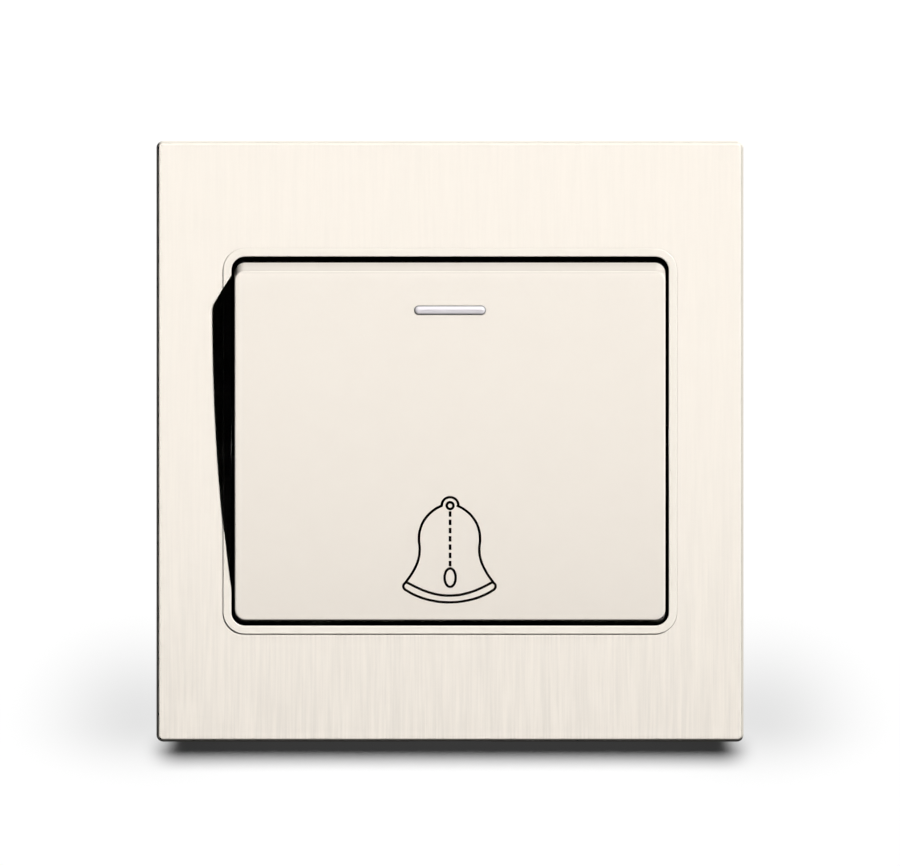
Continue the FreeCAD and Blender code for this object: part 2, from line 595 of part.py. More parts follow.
def chassis():
    body = new_body("chassis")
    add(body, "Floor", "XZ_Plane", "0", "sizes.chassis_floor",
        centred(CHASSIS_WIDE, CHASSIS_HIGH, "sizes.chassis_corner"),
        centred(WINDOW_WIDE, WINDOW_HIGH, "sizes.window_corner"))
    add(body, "Rim", "XZ_Plane", "(sizes.chassis_floor - sizes.sunk)", "sizes.rim_front",
        centred(CHASSIS_WIDE, CHASSIS_HIGH, "sizes.chassis_corner"),
        centred(f"({CHASSIS_WIDE} - 2 * sizes.rim_wall)", f"({CHASSIS_HIGH} - 2 * sizes.rim_wall)"))
    tube_half_wide = f"({TUBE_WIDE} / 2 + sizes.tube_wall + sizes.rib_gap)"
    tube_half_high = f"({TUBE_HIGH} / 2 + sizes.tube_wall + sizes.rib_gap)"
    rim_half_wide = f"({CHASSIS_WIDE} / 2 - sizes.sunk)"
    rim_half_high = f"({CHASSIS_HIGH} / 2 - sizes.sunk)"
    rib_left = "(sizes.rib_across - sizes.rib_thick / 2)"
    rib_right = "(sizes.rib_across + sizes.rib_thick / 2)"
    rib_low = "(sizes.rib_up - sizes.rib_thick / 2)"
    rib_high = "(sizes.rib_up + sizes.rib_thick / 2)"
    add(body, "Ribs", "XZ_Plane", "(sizes.chassis_floor - sizes.sunk)", "sizes.rib_front",
        *at_four_corners(rib_left, rib_right, tube_half_high, rim_half_high),
        *at_four_corners(tube_half_wide, rim_half_wide, rib_low, rib_high))
    add_rib_relief(body)
    cut(body, "Case_recess", "XZ_Plane", "-sizes.through", "sizes.case_recess",
        centred("(sizes.case_width + 2 * sizes.case_fit)", "(sizes.case_height + 2 * sizes.case_fit)",
                "(sizes.case_corner + sizes.case_fit)"))
    above = "(sizes.chassis_floor + sizes.through)"
    cut(body, "Screw_seats", "XZ_Plane", "(sizes.chassis_floor - sizes.seat_depth)", above,
        *(slot(f"({side} * sizes.screw_pitch / 2)", "0", "(sizes.slot_length + 2 * sizes.seat_border)",
               "(sizes.slot_width + 2 * sizes.seat_border)") for side in (1, -1)))
    cut(body, "Screw_slots", "XZ_Plane", "-sizes.through", above,
        *(slot(f"({side} * sizes.screw_pitch / 2)", "0", "sizes.slot_length", "sizes.slot_width")
          for side in (1, -1)))
    cut(body, "Cover_screw_holes", "XZ_Plane", "-sizes.through", above,
        *discs_at_four_corners(SCREW_ACROSS, SCREW_UP,
                               "(sizes.cover_screw_radius + sizes.screw_pass)"))
    tab_low, tab_high, tab_left, tab_right = tab_limits("sizes.tab_fit")
    cut(body, "Tab_windows", "XZ_Plane", "-sizes.through", above,
        *at_four_corners(tab_left, tab_right, tab_low, tab_high))
    cut_hook_windows(body)
    return body


def add_rib_relief(body):
    """Lets the ribs stop under the face plate's locating rib."""
    half_wide = f"({CHASSIS_WIDE} / 2 - sizes.rim_wall)"
    half_high = f"({CHASSIS_HIGH} / 2 - sizes.rim_wall)"
    inset = "(sizes.plate_rib + 2 * sizes.rib_gap)"
    cut(body, "Rib_relief", "XZ_Plane",
        f"({SKIN_BACK} - sizes.plate_rib_drop - sizes.rib_gap)", "sizes.rim_front",
        centred(f"(2 * {half_wide})", f"(2 * {half_high})"),
        centred(f"(2 * {half_wide} - 2 * {inset})", f"(2 * {half_high} - 2 * {inset})"))


def cut_hook_windows(body):
    """Windows in the rim that the face plate's hooks snap into."""
    low = "sizes.chassis_floor"
    high = "(sizes.hook_front + sizes.hook_fit)"
    half = "(sizes.hook_length / 2 + sizes.hook_fit)"
    cut(body, "Side_windows", "XZ_Plane", low, high, *at_four_corners(
        f"({CHASSIS_WIDE} / 2 - sizes.rim_wall - sizes.hook_fit)", f"({CHASSIS_WIDE} / 2 + sizes.through)",
        f"(sizes.hook_up - {half})", f"(sizes.hook_up + {half})"))
    cut(body, "End_windows", "XZ_Plane", low, high, *at_four_corners(
        f"(sizes.hook_across - {half})", f"(sizes.hook_across + {half})",
        f"({CHASSIS_HIGH} / 2 - sizes.rim_wall - sizes.hook_fit)", f"({CHASSIS_HIGH} / 2 + sizes.through)"))


# The mechanism's case and cover

def mechanism_case():
    body = new_body("mechanism_case")
    floor = f"(-{CASE_FLOOR})"
    root = f"({floor} - sizes.sunk)"
    open_front = "(sizes.case_recess + sizes.through)"
    add(body, "Block", "XZ_Plane", "-sizes.case_depth", "sizes.case_recess",
        centred("sizes.case_width", "sizes.case_height", "sizes.case_corner"))
    cut(body, "Hollow", "XZ_Plane", floor, open_front, centred(CASE_INSIDE_WIDE, CASE_INSIDE_HIGH))
    add(body, "Screw_bosses", "XZ_Plane", root, "sizes.case_recess",
        *discs_at_four_corners(SCREW_ACROSS, SCREW_UP,
                               "(sizes.cover_screw_radius + sizes.boss_wall)"))
    cut(body, "Screw_holes", "XZ_Plane",
        f"({FLANGE_FRONT} - sizes.cover_screw_length - sizes.through)", open_front,
        *discs_at_four_corners(SCREW_ACROSS, SCREW_UP,
                               "(sizes.cover_screw_radius + sizes.screw_fit)"))
    add(body, "Spring_seat", "XZ_Plane", root, f"(-{SPRING_SEAT})",
        disc("0", "sizes.nose_height", "sizes.spring_seat_radius"))
    add(body, "Spring_pin", "XZ_Plane",
        f"(-{SPRING_SEAT} - sizes.sunk)", f"(-{SPRING_SEAT} + sizes.spring_pin_length)",
        disc("0", "sizes.nose_height", "sizes.spring_pin_radius"))
    pillar_end = "(sizes.strip_inner + sizes.pillar_length)"
    add(body, "Contact_pillars", "XZ_Plane", root, f"(-{STRIP_BACK})",
        *at_both_sides("sizes.strip_inner", pillar_end, "(sizes.nose_height - sizes.pillar_height / 2)",
                       "(sizes.nose_height + sizes.pillar_height / 2)"))
    add(body, "Pillar_webs", "XZ_Plane", root, f"(-{STRIP_BACK})",
        *at_both_sides(f"({pillar_end} - sizes.sunk)", f"({CASE_INSIDE_WIDE} / 2 + sizes.sunk)",
                       "(sizes.nose_height - sizes.rib_thick / 2)",
                       "(sizes.nose_height + sizes.rib_thick / 2)"))
    add_terminal_pockets(body, root)
    cut(body, "Wire_holes", "XZ_Plane", "(-sizes.case_depth - sizes.through)", f"({floor} + sizes.sunk)",
        *(disc(f"({side} * {WIRE_ACROSS})", f"(-{WIRE_DROP})", "(sizes.wire_radius + sizes.wire_funnel)")
          for side in (1, -1)))
    past_side = "(sizes.case_width / 2 + sizes.through)"
    cut(body, "Clamp_access", "YZ_Plane", f"(-{past_side})", past_side,
        disc(CLAMP_DEPTH, f"(-{WIRE_DROP})", "sizes.clamp_access"))
    back = value("sizes.case_depth")
    half_width = value("sizes.case_width / 2")
    half_height = value("sizes.case_height / 2")
    corner = value("sizes.case_corner / 2")

    def back_rim(edge, middle):
        outside = abs(middle.x) > half_width - corner or abs(middle.z) > half_height - corner
        return outside and abs(middle.y - back) < TOUCH

    dress(body, "Chamfer", "Back_edge", "sizes.case_edge", back_rim)
    return body


def add_terminal_pockets(body, root):
    """Walls that hold each terminal block on three sides."""
    near_side = f"({WIRE_ACROSS} - sizes.terminal_width / 2 - sizes.pocket_gap)"
    high = f"(-{WIRE_DROP} + sizes.terminal_height / 2 + sizes.pocket_gap)"
    low = f"(-{WIRE_DROP} - sizes.terminal_height / 2 - sizes.pocket_gap)"
    outer = f"({CASE_INSIDE_WIDE} / 2 + sizes.sunk)"
    far_side = f"({near_side} - sizes.pocket_wall)"
    top = f"({high} + sizes.pocket_wall)"
    bottom = f"({low} - sizes.pocket_wall)"
    points = (
        (outer, top), (far_side, top), (far_side, bottom), (outer, bottom),
        (outer, low), (near_side, low), (near_side, high), (outer, high),
    )
    mirrored_points = tuple((f"(-{across})", up) for across, up in points)
    add(body, "Terminal_pockets", "XZ_Plane", root, f"(-{STRIP_BACK} - sizes.pocket_short)",
        profile(points), profile(mirrored_points))


def mechanism_cover():
    body = new_body("mechanism_cover")
    pan_back = f"({PAN_FLOOR} - sizes.cover_wall)"
    corner = "(sizes.window_corner - sizes.cover_fit)"
    add(body, "Flange", "XZ_Plane", "sizes.chassis_floor", FLANGE_FRONT,
        centred("sizes.case_width", "sizes.case_height", "sizes.case_corner"))
    add(body, "Pan", "XZ_Plane", pan_back, FLANGE_FRONT, centred(PAN_WIDE, PAN_HIGH, corner))
    cut(body, "Pan_hollow", "XZ_Plane", PAN_FLOOR, f"({FLANGE_FRONT} + sizes.through)",
        centred(f"({PAN_WIDE} - 2 * sizes.cover_wall)", f"({PAN_HIGH} - 2 * sizes.cover_wall)"))
    foot = f"(sizes.sunk - {PAN_FLOOR})"
    ear = profile(((foot, "sizes.ear_round"), ("-sizes.pivot_front", "sizes.ear_round"),
                   ("-sizes.pivot_front", "-sizes.ear_round"), (foot, "-sizes.ear_round")),
                  {1: "-sizes.ear_round"})
    right = add(body, "Ear", "YZ_Plane", EAR_INSIDE, EAR_OUTSIDE, ear)
    mirrored(body, "Other_ear", [right], "YZ_Plane")
    past_ear = f"({EAR_OUTSIDE} + sizes.through)"
    cut(body, "Trunnion_holes", "YZ_Plane", f"(-{past_ear})", past_ear,
        disc("-sizes.pivot_front", "0", "(sizes.pin_radius + sizes.pin_clearance)"))
    hole = "(sizes.plunger_radius + sizes.plunger_clearance)"
    add(body, "Guide", "XZ_Plane", "-sizes.guide_depth", f"({pan_back} + sizes.sunk)",
        disc("0", "sizes.nose_height", f"({hole} + sizes.guide_wall)"))
    cut(body, "Guide_bore", "XZ_Plane",
        "(-sizes.guide_depth - sizes.through)", f"({PAN_FLOOR} + sizes.through)",
        disc("0", "sizes.nose_height", hole))
    add(body, "Strip_holders", "XZ_Plane", f"(-{STRIP_FRONT})", f"({pan_back} + sizes.sunk)",
        *at_both_sides(f"({PAN_WIDE} / 2 - sizes.holder_size)", f"({PAN_WIDE} / 2)",
                       "(-sizes.holder_size / 2)", "(sizes.holder_size / 2)"))
    cut(body, "Screw_holes", "XZ_Plane",
        "(sizes.chassis_floor - sizes.through)", f"({FLANGE_FRONT} + sizes.through)",
        *discs_at_four_corners(SCREW_ACROSS, SCREW_UP,
                               "(sizes.cover_screw_radius + sizes.screw_pass)"))
    return body


def cover_screws():
    """Four cheese-head screws that draw the cover and the case together on the mounting frame."""
    body = new_body("cover_screws")
    body.AllowCompound = True
    front = f"(-{FLANGE_FRONT} - sizes.cover_screw_head_high)"
    seat = f"(-{FLANGE_FRONT})"
    end = f"(sizes.cover_screw_length - {FLANGE_FRONT})"
    blank = turned(body, "Blank", profile((
        ("0", front), ("sizes.cover_screw_head", front), ("sizes.cover_screw_head", seat),
        ("sizes.cover_screw_radius", seat), ("sizes.cover_screw_radius", end), ("0", end))))
    deep = f"(-{front} - sizes.recess_deep)"
    half_long = "(sizes.cover_screw_head * sizes.recess_share)"
    half_wide = "(sizes.recess_wide / 2)"
    upright = cut(body, "Recess", "XZ_Plane", deep, f"(-{front} + sizes.through)",
                  area(f"(-{half_wide})", half_wide, f"(-{half_long})", half_long))
    level = cut(body, "Cross_recess", "XZ_Plane", deep, f"(-{front} + sizes.through)",
                area(f"(-{half_long})", half_long, f"(-{half_wide})", half_wide))
    pattern = body.newObject("PartDesign::LinearPattern", "Four")
    pattern.Originals = [blank, upright, level]
    pattern.Direction = (base_planes(body)["X_Axis"], [""])
    pattern.Direction2 = (base_planes(body)["Z_Axis"], [""])
    pattern.Occurrences = 2
    pattern.Occurrences2 = 2
    pattern.setExpression("Length", f"2 * {SCREW_ACROSS}")
    pattern.setExpression("Length2", f"2 * {SCREW_UP}")
    body.Tip = pattern
    body.setExpression("Placement.Base.x", f"-{SCREW_ACROSS}")
    body.setExpression("Placement.Base.z", f"-{SCREW_UP}")
    return body


# The rocker and what it carries

def end_wall_place(sweep, front):
    """Height of a point of an end wall, which is an arc about the pivot."""
    return f"sqrt({sweep} ^ 2 - ({front}) ^ 2)"


def rocker():
    body = new_body("rocker")
    rides_on_rocker(body)
    back_up = end_wall_place(SWEEP, "sizes.skirt_back")
    add(body, "Shell", "YZ_Plane", f"(-{ROCKER_WIDE} / 2)", f"({ROCKER_WIDE} / 2)", profile((
        ("-sizes.skirt_back", back_up), (f"(-{CREST_FRONT})", CREST_HALF),
        (f"(-{CREST_FRONT})", f"(-{CREST_HALF})"), ("-sizes.skirt_back", f"(-{back_up})")),
        {0: f"-{SWEEP}", 1: "-sizes.face_radius", 2: f"-{SWEEP}"}))
    side = value(f"{ROCKER_WIDE} / 2")
    crest = value(CREST_FRONT)

    def end_corner(edge, middle):
        return abs(abs(middle.x) - side) < TOUCH and abs(middle.z) > crest and edge.Length < crest

    dress(body, "Fillet", "Corners", "sizes.rocker_corner", end_corner)
    face = max(body.Tip.Shape.Faces, key=lambda one: -one.CenterOfMass.y)
    rim = [edge.hashCode() for edge in face.Edges]
    dress(body, "Fillet", "Face_edge", "sizes.rocker_edge", lambda edge, middle: edge.hashCode() in rim)
    hollow_rocker(body)
    add_rocker_ribs(body)
    fit_lens_seat(body)
    for name, side_sign, end_sign in (("Clip_upper_right", 1, 1), ("Clip_upper_left", -1, 1),
                                      ("Clip_lower_right", 1, -1), ("Clip_lower_left", -1, -1)):
        add_clip(body, name, side_sign, end_sign)
    return body


def hollow_rocker(body):
    inner_sweep = f"({SWEEP} - sizes.rocker_wall)"
    back = "(sizes.skirt_back / 2)"
    front = f"({CREST_FRONT} - sizes.rocker_skin)"
    back_up = end_wall_place(inner_sweep, back)
    front_up = end_wall_place(inner_sweep, front)
    half = f"({ROCKER_WIDE} / 2 - sizes.rocker_wall)"
    cut(body, "Hollow", "YZ_Plane", f"(-{half})", half, profile((
        (f"(-{back})", back_up), (f"(-{front})", front_up), (f"(-{front})", f"(-{front_up})"),
        (f"(-{back})", f"(-{back_up})")),
        {0: f"-{inner_sweep}", 1: "(sizes.rocker_skin - sizes.face_radius)", 2: f"-{inner_sweep}"}))


def skin_middle(up):
    """Front of the middle of the rocker's curved skin at a height above its middle line."""
    return f"(sqrt((sizes.face_radius - sizes.rocker_skin / 2) ^ 2 - ({up}) ^ 2) - {FACE_CENTRE})"


def add_rocker_ribs(body):
    """Ribs under the rocker's face, sunk to the middle of its skin."""
    half_thick = "(sizes.rib_thick / 2)"
    left, right = (f"(sizes.rocker_rib_across {sign} {half_thick})" for sign in "-+")
    half_long = f"({CREST_HALF} - sizes.rocker_wall)"
    back, front = "-sizes.rocker_rib_back", f"(-{skin_middle(half_long)})"
    outline = profile(
        ((back, half_long), (front, half_long), (front, f"(-{half_long})"), (back, f"(-{half_long})")),
        {1: "(sizes.rocker_skin / 2 - sizes.face_radius)"})
    add(body, "Long_rib", "YZ_Plane", left, right, outline)
    add(body, "Other_long_rib", "YZ_Plane", f"(-{right})", f"(-{left})", outline)
    low, high = (f"(sizes.rocker_rib_up {sign} {half_thick})" for sign in "-+")
    for name, bottom, top in (("Upper_rib", low, high), ("Lower_rib", f"(-{high})", f"(-{low})")):
        add(body, name, "XZ_Plane", "sizes.rocker_rib_back", skin_middle("sizes.rocker_rib_up"),
            area("-sizes.rocker_rib_across", "sizes.rocker_rib_across", bottom, top))
    add(body, "Locating_ribs", "XZ_Plane", CRADLE_FRONT, skin_middle("sizes.clip_far"), *at_both_sides(
        f"(sizes.locator_across - {half_thick})", f"(sizes.locator_across + {half_thick})",
        "-sizes.clip_far", "sizes.clip_far"))


def fit_lens_seat(body):
    half_wide = "(sizes.lens_width / 2 + sizes.lens_flange + sizes.lens_seat_border)"
    half_high = "(sizes.lens_height / 2 + sizes.lens_flange + sizes.lens_seat_border)"
    add(body, "Lens_seat", "XZ_Plane", LENS_SEAT, skin_middle(LENS_UP),
        area(f"(-{half_wide})", half_wide, f"({LENS_UP} - {half_high})", f"({LENS_UP} + {half_high})"))
    cut(body, "Lens_slot", "XZ_Plane", f"({LENS_SEAT} - sizes.through)",
        f"({skin_middle('0')} + sizes.rocker_skin)",
        slot("0", LENS_UP, "(sizes.lens_width + 2 * sizes.lens_fit)",
             "(sizes.lens_height + 2 * sizes.lens_fit)"))


def add_clip(body, name, side_sign, end_sign):
    """An arm that snaps over the edge of the cradle's plate."""
    inner = f"({CRADLE_HALF} + sizes.clip_gap)"
    outer = f"({inner} + sizes.clip_thick)"
    barb = f"({inner} - sizes.clip_reach)"
    root = f"(-{skin_middle('sizes.clip_far')})"
    tip = "(sizes.clip_drop - sizes.cradle_back)"
    hold = "(sizes.nose_gap - sizes.cradle_back)"
    outline = ((inner, root), (outer, root), (outer, tip), (f"(({inner} + {outer}) / 2)", tip),
               (barb, f"({hold} + sizes.clip_drop / 3)"), (barb, hold), (inner, hold))
    points = tuple((f"({side_sign} * {across})", deep) for across, deep in outline)
    low, high = "sizes.clip_near", "sizes.clip_far"
    if end_sign < 0:
        low, high = f"-{high}", f"-{low}"
    add(body, name, "XY_Plane", low, high, profile(points))


def indicator_lens():
    """Clear bar pushed through the rocker's face from behind, up to its flange."""
    body = new_body("indicator_lens")
    rides_on_rocker(body)
    face_here = f"(sqrt(sizes.face_radius ^ 2 - {LENS_UP} ^ 2) - {FACE_CENTRE})"
    front = f"({face_here} + sizes.lens_proud)"
    add(body, "Bar", "XZ_Plane", f"({LENS_SEAT} - sizes.sunk)", front,
        slot("0", LENS_UP, "sizes.lens_width", "sizes.lens_height"))
    top = value(front)
    dress(body, "Fillet", "Bar_edge", "sizes.lens_edge", lambda edge, middle: abs(middle.y + top) < TOUCH)
    half_wide = "(sizes.lens_width / 2 + sizes.lens_flange)"
    half_high = "(sizes.lens_height / 2 + sizes.lens_flange)"
    add(body, "Flange", "XZ_Plane", f"({LENS_SEAT} - sizes.lens_flange_thick)", LENS_SEAT,
        area(f"(-{half_wide})", half_wide, f"({LENS_UP} - {half_high})", f"({LENS_UP} + {half_high})"))
    return body


def rocker_cradle():
    """Carrier under the rocker, with two trunnions and the nose that pushes the plunger."""
    body = new_body("rocker_cradle")
    rides_on_rocker(body)
    add(body, "Plate", "XZ_Plane", "sizes.cradle_back", CRADLE_FRONT,
        centred(f"(2 * {CRADLE_HALF})", "sizes.cradle_height", "sizes.cradle_corner"))
    root = "(-sizes.cradle_back - sizes.sunk)"
    cheek = profile(((root, "sizes.cheek_half"), (root, "-sizes.cheek_half"),
                     ("0", "-sizes.cheek_round"), ("0", "sizes.cheek_round")), {2: "-sizes.cheek_round"})
    right = add(body, "Cheek", "YZ_Plane", f"({CRADLE_HALF} - sizes.cheek_thick)", CRADLE_HALF, cheek)
    pin = add(body, "Trunnion", "YZ_Plane",
              f"({CRADLE_HALF} - sizes.sunk)", f"({EAR_OUTSIDE} + sizes.pin_over)",
              disc("0", "0", "sizes.pin_radius"))
    mirrored(body, "Other_side", [right, pin], "YZ_Plane")
    centre_back = "(sizes.nose_back - sizes.nose_half)"
    top, bottom = "(sizes.nose_height + sizes.nose_half)", "(sizes.nose_height - sizes.nose_half)"
    add(body, "Nose", "YZ_Plane", "-sizes.nose_half", "sizes.nose_half", profile(
        ((root, top), (root, bottom), (centre_back, bottom), (centre_back, top)), {2: "-sizes.nose_half"}))
    spine_end = f"({CRADLE_HALF} - sizes.sunk)"
    add(body, "Spine", "XZ_Plane",
        "(sizes.cradle_back - sizes.cradle_thick)", f"({CRADLE_FRONT} - sizes.sunk)",
        area(f"(-{spine_end})", spine_end, "(-sizes.rib_thick / 2)", "(sizes.rib_thick / 2)"))
    window = "(sizes.locator_across - sizes.rib_thick / 2 - sizes.cradle_border)"
    cut(body, "Window", "XZ_Plane",
        "(sizes.cradle_back - sizes.through)", f"({CRADLE_FRONT} + sizes.through)",
        area(f"(-{window})", window, "(sizes.cradle_border - sizes.clip_far)",
             "(-sizes.cheek_half - sizes.cradle_border)", "sizes.cradle_corner"))
    return body


# The plunger and what it carries

def plunger():
    body = new_body("plunger")
    stands_on_plunger_axis(body)
    front = f"(-{PLUNGER_FRONT})"
    turned(body, "Pin", profile((
        ("0", front), ("(sizes.plunger_radius - sizes.plunger_chamfer)", front),
        ("sizes.plunger_radius", f"({front} + sizes.plunger_chamfer)"),
        ("sizes.plunger_radius", SHOULDER_FRONT),
        ("sizes.shoulder_radius", SHOULDER_FRONT), ("sizes.shoulder_radius", SHOULDER_BACK),
        ("sizes.stem_radius", SHOULDER_BACK), ("sizes.stem_radius", BRIDGE_BACK),
        ("sizes.collar_radius", BRIDGE_BACK), ("sizes.collar_radius", COLLAR_BACK),
        ("sizes.stem_radius", COLLAR_BACK), ("sizes.stem_radius", STEM_END), ("0", STEM_END))))
    return body


def contact_bridge():
    """Brass bar that slides sideways onto the plunger's stem."""
    body = new_body("contact_bridge")
    stands_on_plunger_axis(body)
    add(body, "Bar", "XZ_Plane", f"(-{BRIDGE_BACK})", f"(-{BRIDGE_FRONT})",
        centred("sizes.bridge_width", "sizes.bridge_height", "sizes.bridge_corner"))
    half = "(sizes.stem_radius + sizes.stem_clearance)"
    below = "(-sizes.bridge_height / 2 - sizes.through)"
    back, front = f"(-{BRIDGE_BACK} - sizes.through)", f"(sizes.through - {BRIDGE_FRONT})"
    cut(body, "Stem_slot", "XZ_Plane", back, front, profile(
        ((half, "0"), (f"(-{half})", "0"), (f"(-{half})", below), (half, below)), {0: f"-{half}"}))
    return body


def contact_tip(name, side, back, front, faces_front):
    """Silver button riveted to a strip, its edge bevelled on the side that makes contact."""
    body = new_body(name)
    stands_on_plunger_axis(body)
    add(body, "Button", "XZ_Plane", f"(-{back})", f"(-{front})",
        disc(f"({side} * sizes.tip_across)", "0", "sizes.tip_radius"))
    working = value(front) if faces_front else value(back)
    dress(body, "Chamfer", "Edge", "sizes.tip_edge", lambda edge, middle: abs(middle.y - working) < TOUCH)
    return body


def coil_spring(name, length, radius, wire, pitch, front):
    """A helix of wire, drawn with a six-sided section to keep it light."""
    body = new_body(name)
    stands_on_plunger_axis(body)
    coil = body.newObject("PartDesign::AdditiveHelix", "Coil")
    corners = tuple(
        (f"({radius} + {wire} * cos({step} * 360 / {WIRE_SIDES}))",
         f"({front} + {wire} + {wire} * sin({step} * 360 / {WIRE_SIDES}))")
        for step in range(WIRE_SIDES))
    coil.Profile = new_sketch(body, "Wire", "XY_Plane", "0", (profile(corners),))
    coil.ReferenceAxis = (coil.Profile[0], ["V_Axis"])
    coil.Mode = "pitch-height-angle"
    coil.setExpression("Pitch", pitch)
    coil.setExpression("Height", f"{length} - 2 * {wire}")
    return body


def fixed_contact(name, side):
    """Strip from the wire terminal to the place behind the bridge's tip."""
    body = new_body(name)
    low = "(sizes.nose_height - sizes.strip_width / 2)"
    high = "(sizes.nose_height + sizes.strip_width / 2)"
    foot_inner = f"({STRIP_OUTSIDE} - sizes.strip_width)"
    foot = f"(-{WIRE_DROP} - sizes.strip_foot)"
    outline = (("sizes.strip_inner", low), (foot_inner, low), (foot_inner, foot),
               (STRIP_OUTSIDE, foot), (STRIP_OUTSIDE, high), ("sizes.strip_inner", high))
    points = tuple((f"({side} * {across})", up) for across, up in outline)
    add(body, "Strip", "XZ_Plane", f"(-{STRIP_BACK})", f"(-{STRIP_FRONT})", profile(points))
    return body


def terminal_block(name, side):
    body = new_body(name)
    middle = f"({side} * {WIRE_ACROSS})"
    half_wide, half_high = "(sizes.terminal_width / 2)", "(sizes.terminal_height / 2)"
    add(body, "Block", "XZ_Plane", f"(-{CASE_FLOOR})", f"(-{STRIP_BACK})",
        area(f"({middle} - {half_wide})", f"({middle} + {half_wide})",
             f"(-{WIRE_DROP} - {half_high})", f"(-{WIRE_DROP} + {half_high})"))
    cut(body, "Wire_bore", "XZ_Plane",
        f"(-{CASE_FLOOR} - sizes.through)", f"(-{STRIP_BACK} - sizes.wire_end_wall)",
        disc(middle, f"(-{WIRE_DROP})", "sizes.wire_radius"))
    outer = f"({WIRE_ACROSS} + {half_wide} + sizes.through)"
    start, end = (WIRE_ACROSS, outer) if side > 0 else (f"(-{outer})", f"(-{WIRE_ACROSS})")
    cut(body, "Clamp_thread", "YZ_Plane", start, end,
        disc(CLAMP_DEPTH, f"(-{WIRE_DROP})", "(sizes.clamp_radius + sizes.screw_fit)"))
    return body


def terminal_screw(name, side):
    """Slotted clamp screw, its tip at the edge of the wire bore."""
    body = new_body(name)
    seat = "(sizes.terminal_width / 2)"
    tip = "sizes.wire_radius"
    head = f"({seat} + sizes.clamp_head_high)"
    turned(body, "Blank", profile((
        (tip, "0"), (head, "0"), (head, "(sizes.clamp_head - sizes.clamp_bevel)"),
        (f"({head} - sizes.clamp_bevel)", "sizes.clamp_head"),
        (seat, "sizes.clamp_head"), (seat, "sizes.clamp_radius"), (tip, "sizes.clamp_radius"))), "H_Axis")
    cut(body, "Slot", "YZ_Plane", f"({head} - sizes.recess_deep)", f"({head} + sizes.through)",
        centred("(2 * (sizes.clamp_head + sizes.through))", "sizes.recess_wide"))
    if side < 0:
        body.Placement = FreeCAD.Placement(FreeCAD.Vector(), FreeCAD.Rotation(FreeCAD.Vector(0, 0, 1), 180))
    body.setExpression("Placement.Base.x", f"{side} * {WIRE_ACROSS}")
    body.setExpression("Placement.Base.y", CLAMP_DEPTH)
    body.setExpression("Placement.Base.z", f"-{WIRE_DROP}")
    return body


# The whole push button

bodies = [
    face_plate(),
    rocker_surround(),
    chassis(),
    mechanism_case(),
    mechanism_cover(),
    cover_screws(),
    rocker(),
    indicator_lens(),
    rocker_cradle(),
    plunger(),
    contact_bridge(),
    coil_spring("contact_spring", "sizes.contact_spring_length", "sizes.contact_spring_radius",
                "sizes.contact_spring_wire", "sizes.contact_spring_pitch", SHOULDER_BACK),
    coil_spring("return_spring", "sizes.return_spring_length", "sizes.return_spring_radius",
                "sizes.return_spring_wire", "sizes.return_spring_pitch", COLLAR_BACK),
]
for hand, sign in (("left", -1), ("right", 1)):
    bodies.append(contact_tip(f"bridge_tip_{hand}", sign, TIP_BACK, BRIDGE_BACK, False))
    bodies.append(contact_tip(f"fixed_tip_{hand}", sign, STRIP_FRONT, FIXED_TIP_FRONT, True))
    bodies.append(fixed_contact(f"fixed_contact_{hand}", sign))
    bodies.append(terminal_block(f"terminal_block_{hand}", sign))
    bodies.append(terminal_screw(f"terminal_screw_{hand}", sign))
document.recompute()

for item in document.Objects:
    if {"Invalid", "Error"} & set(item.State):
        raise RuntimeError(f"{item.Name} could not be built: {item.State}")
for body in bodies:
    if body.Shape.isNull() or not body.Shape.isValid() or not body.Shape.Solids:
        raise RuntimeError(f"{body.Label} has no valid solid")

os.makedirs("parts", exist_ok=True)
for body in bodies:
    body.Shape.exportStep(f"parts/{body.Label}.step")
    box = body.Shape.BoundBox
    print(f"{body.Label}: {len(body.Shape.Solids)} solid, volume {body.Shape.Volume:.1f}, "
          f"X {box.XMin:.2f} to {box.XMax:.2f}, Y {box.YMin:.2f} to {box.YMax:.2f}, "
          f"Z {box.ZMin:.2f} to {box.ZMax:.2f}")
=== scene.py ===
# Looks of the doorbell push button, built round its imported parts. Metres, wall plane at Y = 0.
import json
import math

import bpy
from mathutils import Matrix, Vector


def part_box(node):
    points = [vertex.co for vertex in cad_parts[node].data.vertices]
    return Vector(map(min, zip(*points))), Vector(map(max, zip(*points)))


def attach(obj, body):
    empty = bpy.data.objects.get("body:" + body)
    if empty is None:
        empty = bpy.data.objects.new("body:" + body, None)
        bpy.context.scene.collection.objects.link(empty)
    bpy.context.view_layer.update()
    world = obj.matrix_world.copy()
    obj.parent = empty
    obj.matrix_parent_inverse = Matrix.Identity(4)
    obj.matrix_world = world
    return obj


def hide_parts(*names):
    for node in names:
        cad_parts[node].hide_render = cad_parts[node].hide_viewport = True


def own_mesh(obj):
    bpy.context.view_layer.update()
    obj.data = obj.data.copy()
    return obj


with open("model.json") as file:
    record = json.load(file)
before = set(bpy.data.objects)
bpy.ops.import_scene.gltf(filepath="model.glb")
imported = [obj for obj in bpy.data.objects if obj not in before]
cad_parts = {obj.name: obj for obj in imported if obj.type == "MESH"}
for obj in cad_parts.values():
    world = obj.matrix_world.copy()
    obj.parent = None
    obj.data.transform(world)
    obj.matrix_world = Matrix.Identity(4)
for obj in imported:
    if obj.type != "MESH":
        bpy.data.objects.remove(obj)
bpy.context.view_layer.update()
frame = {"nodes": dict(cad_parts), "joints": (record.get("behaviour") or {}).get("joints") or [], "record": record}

MM = 0.001
NODES = frame["nodes"]

# The photograph's frame

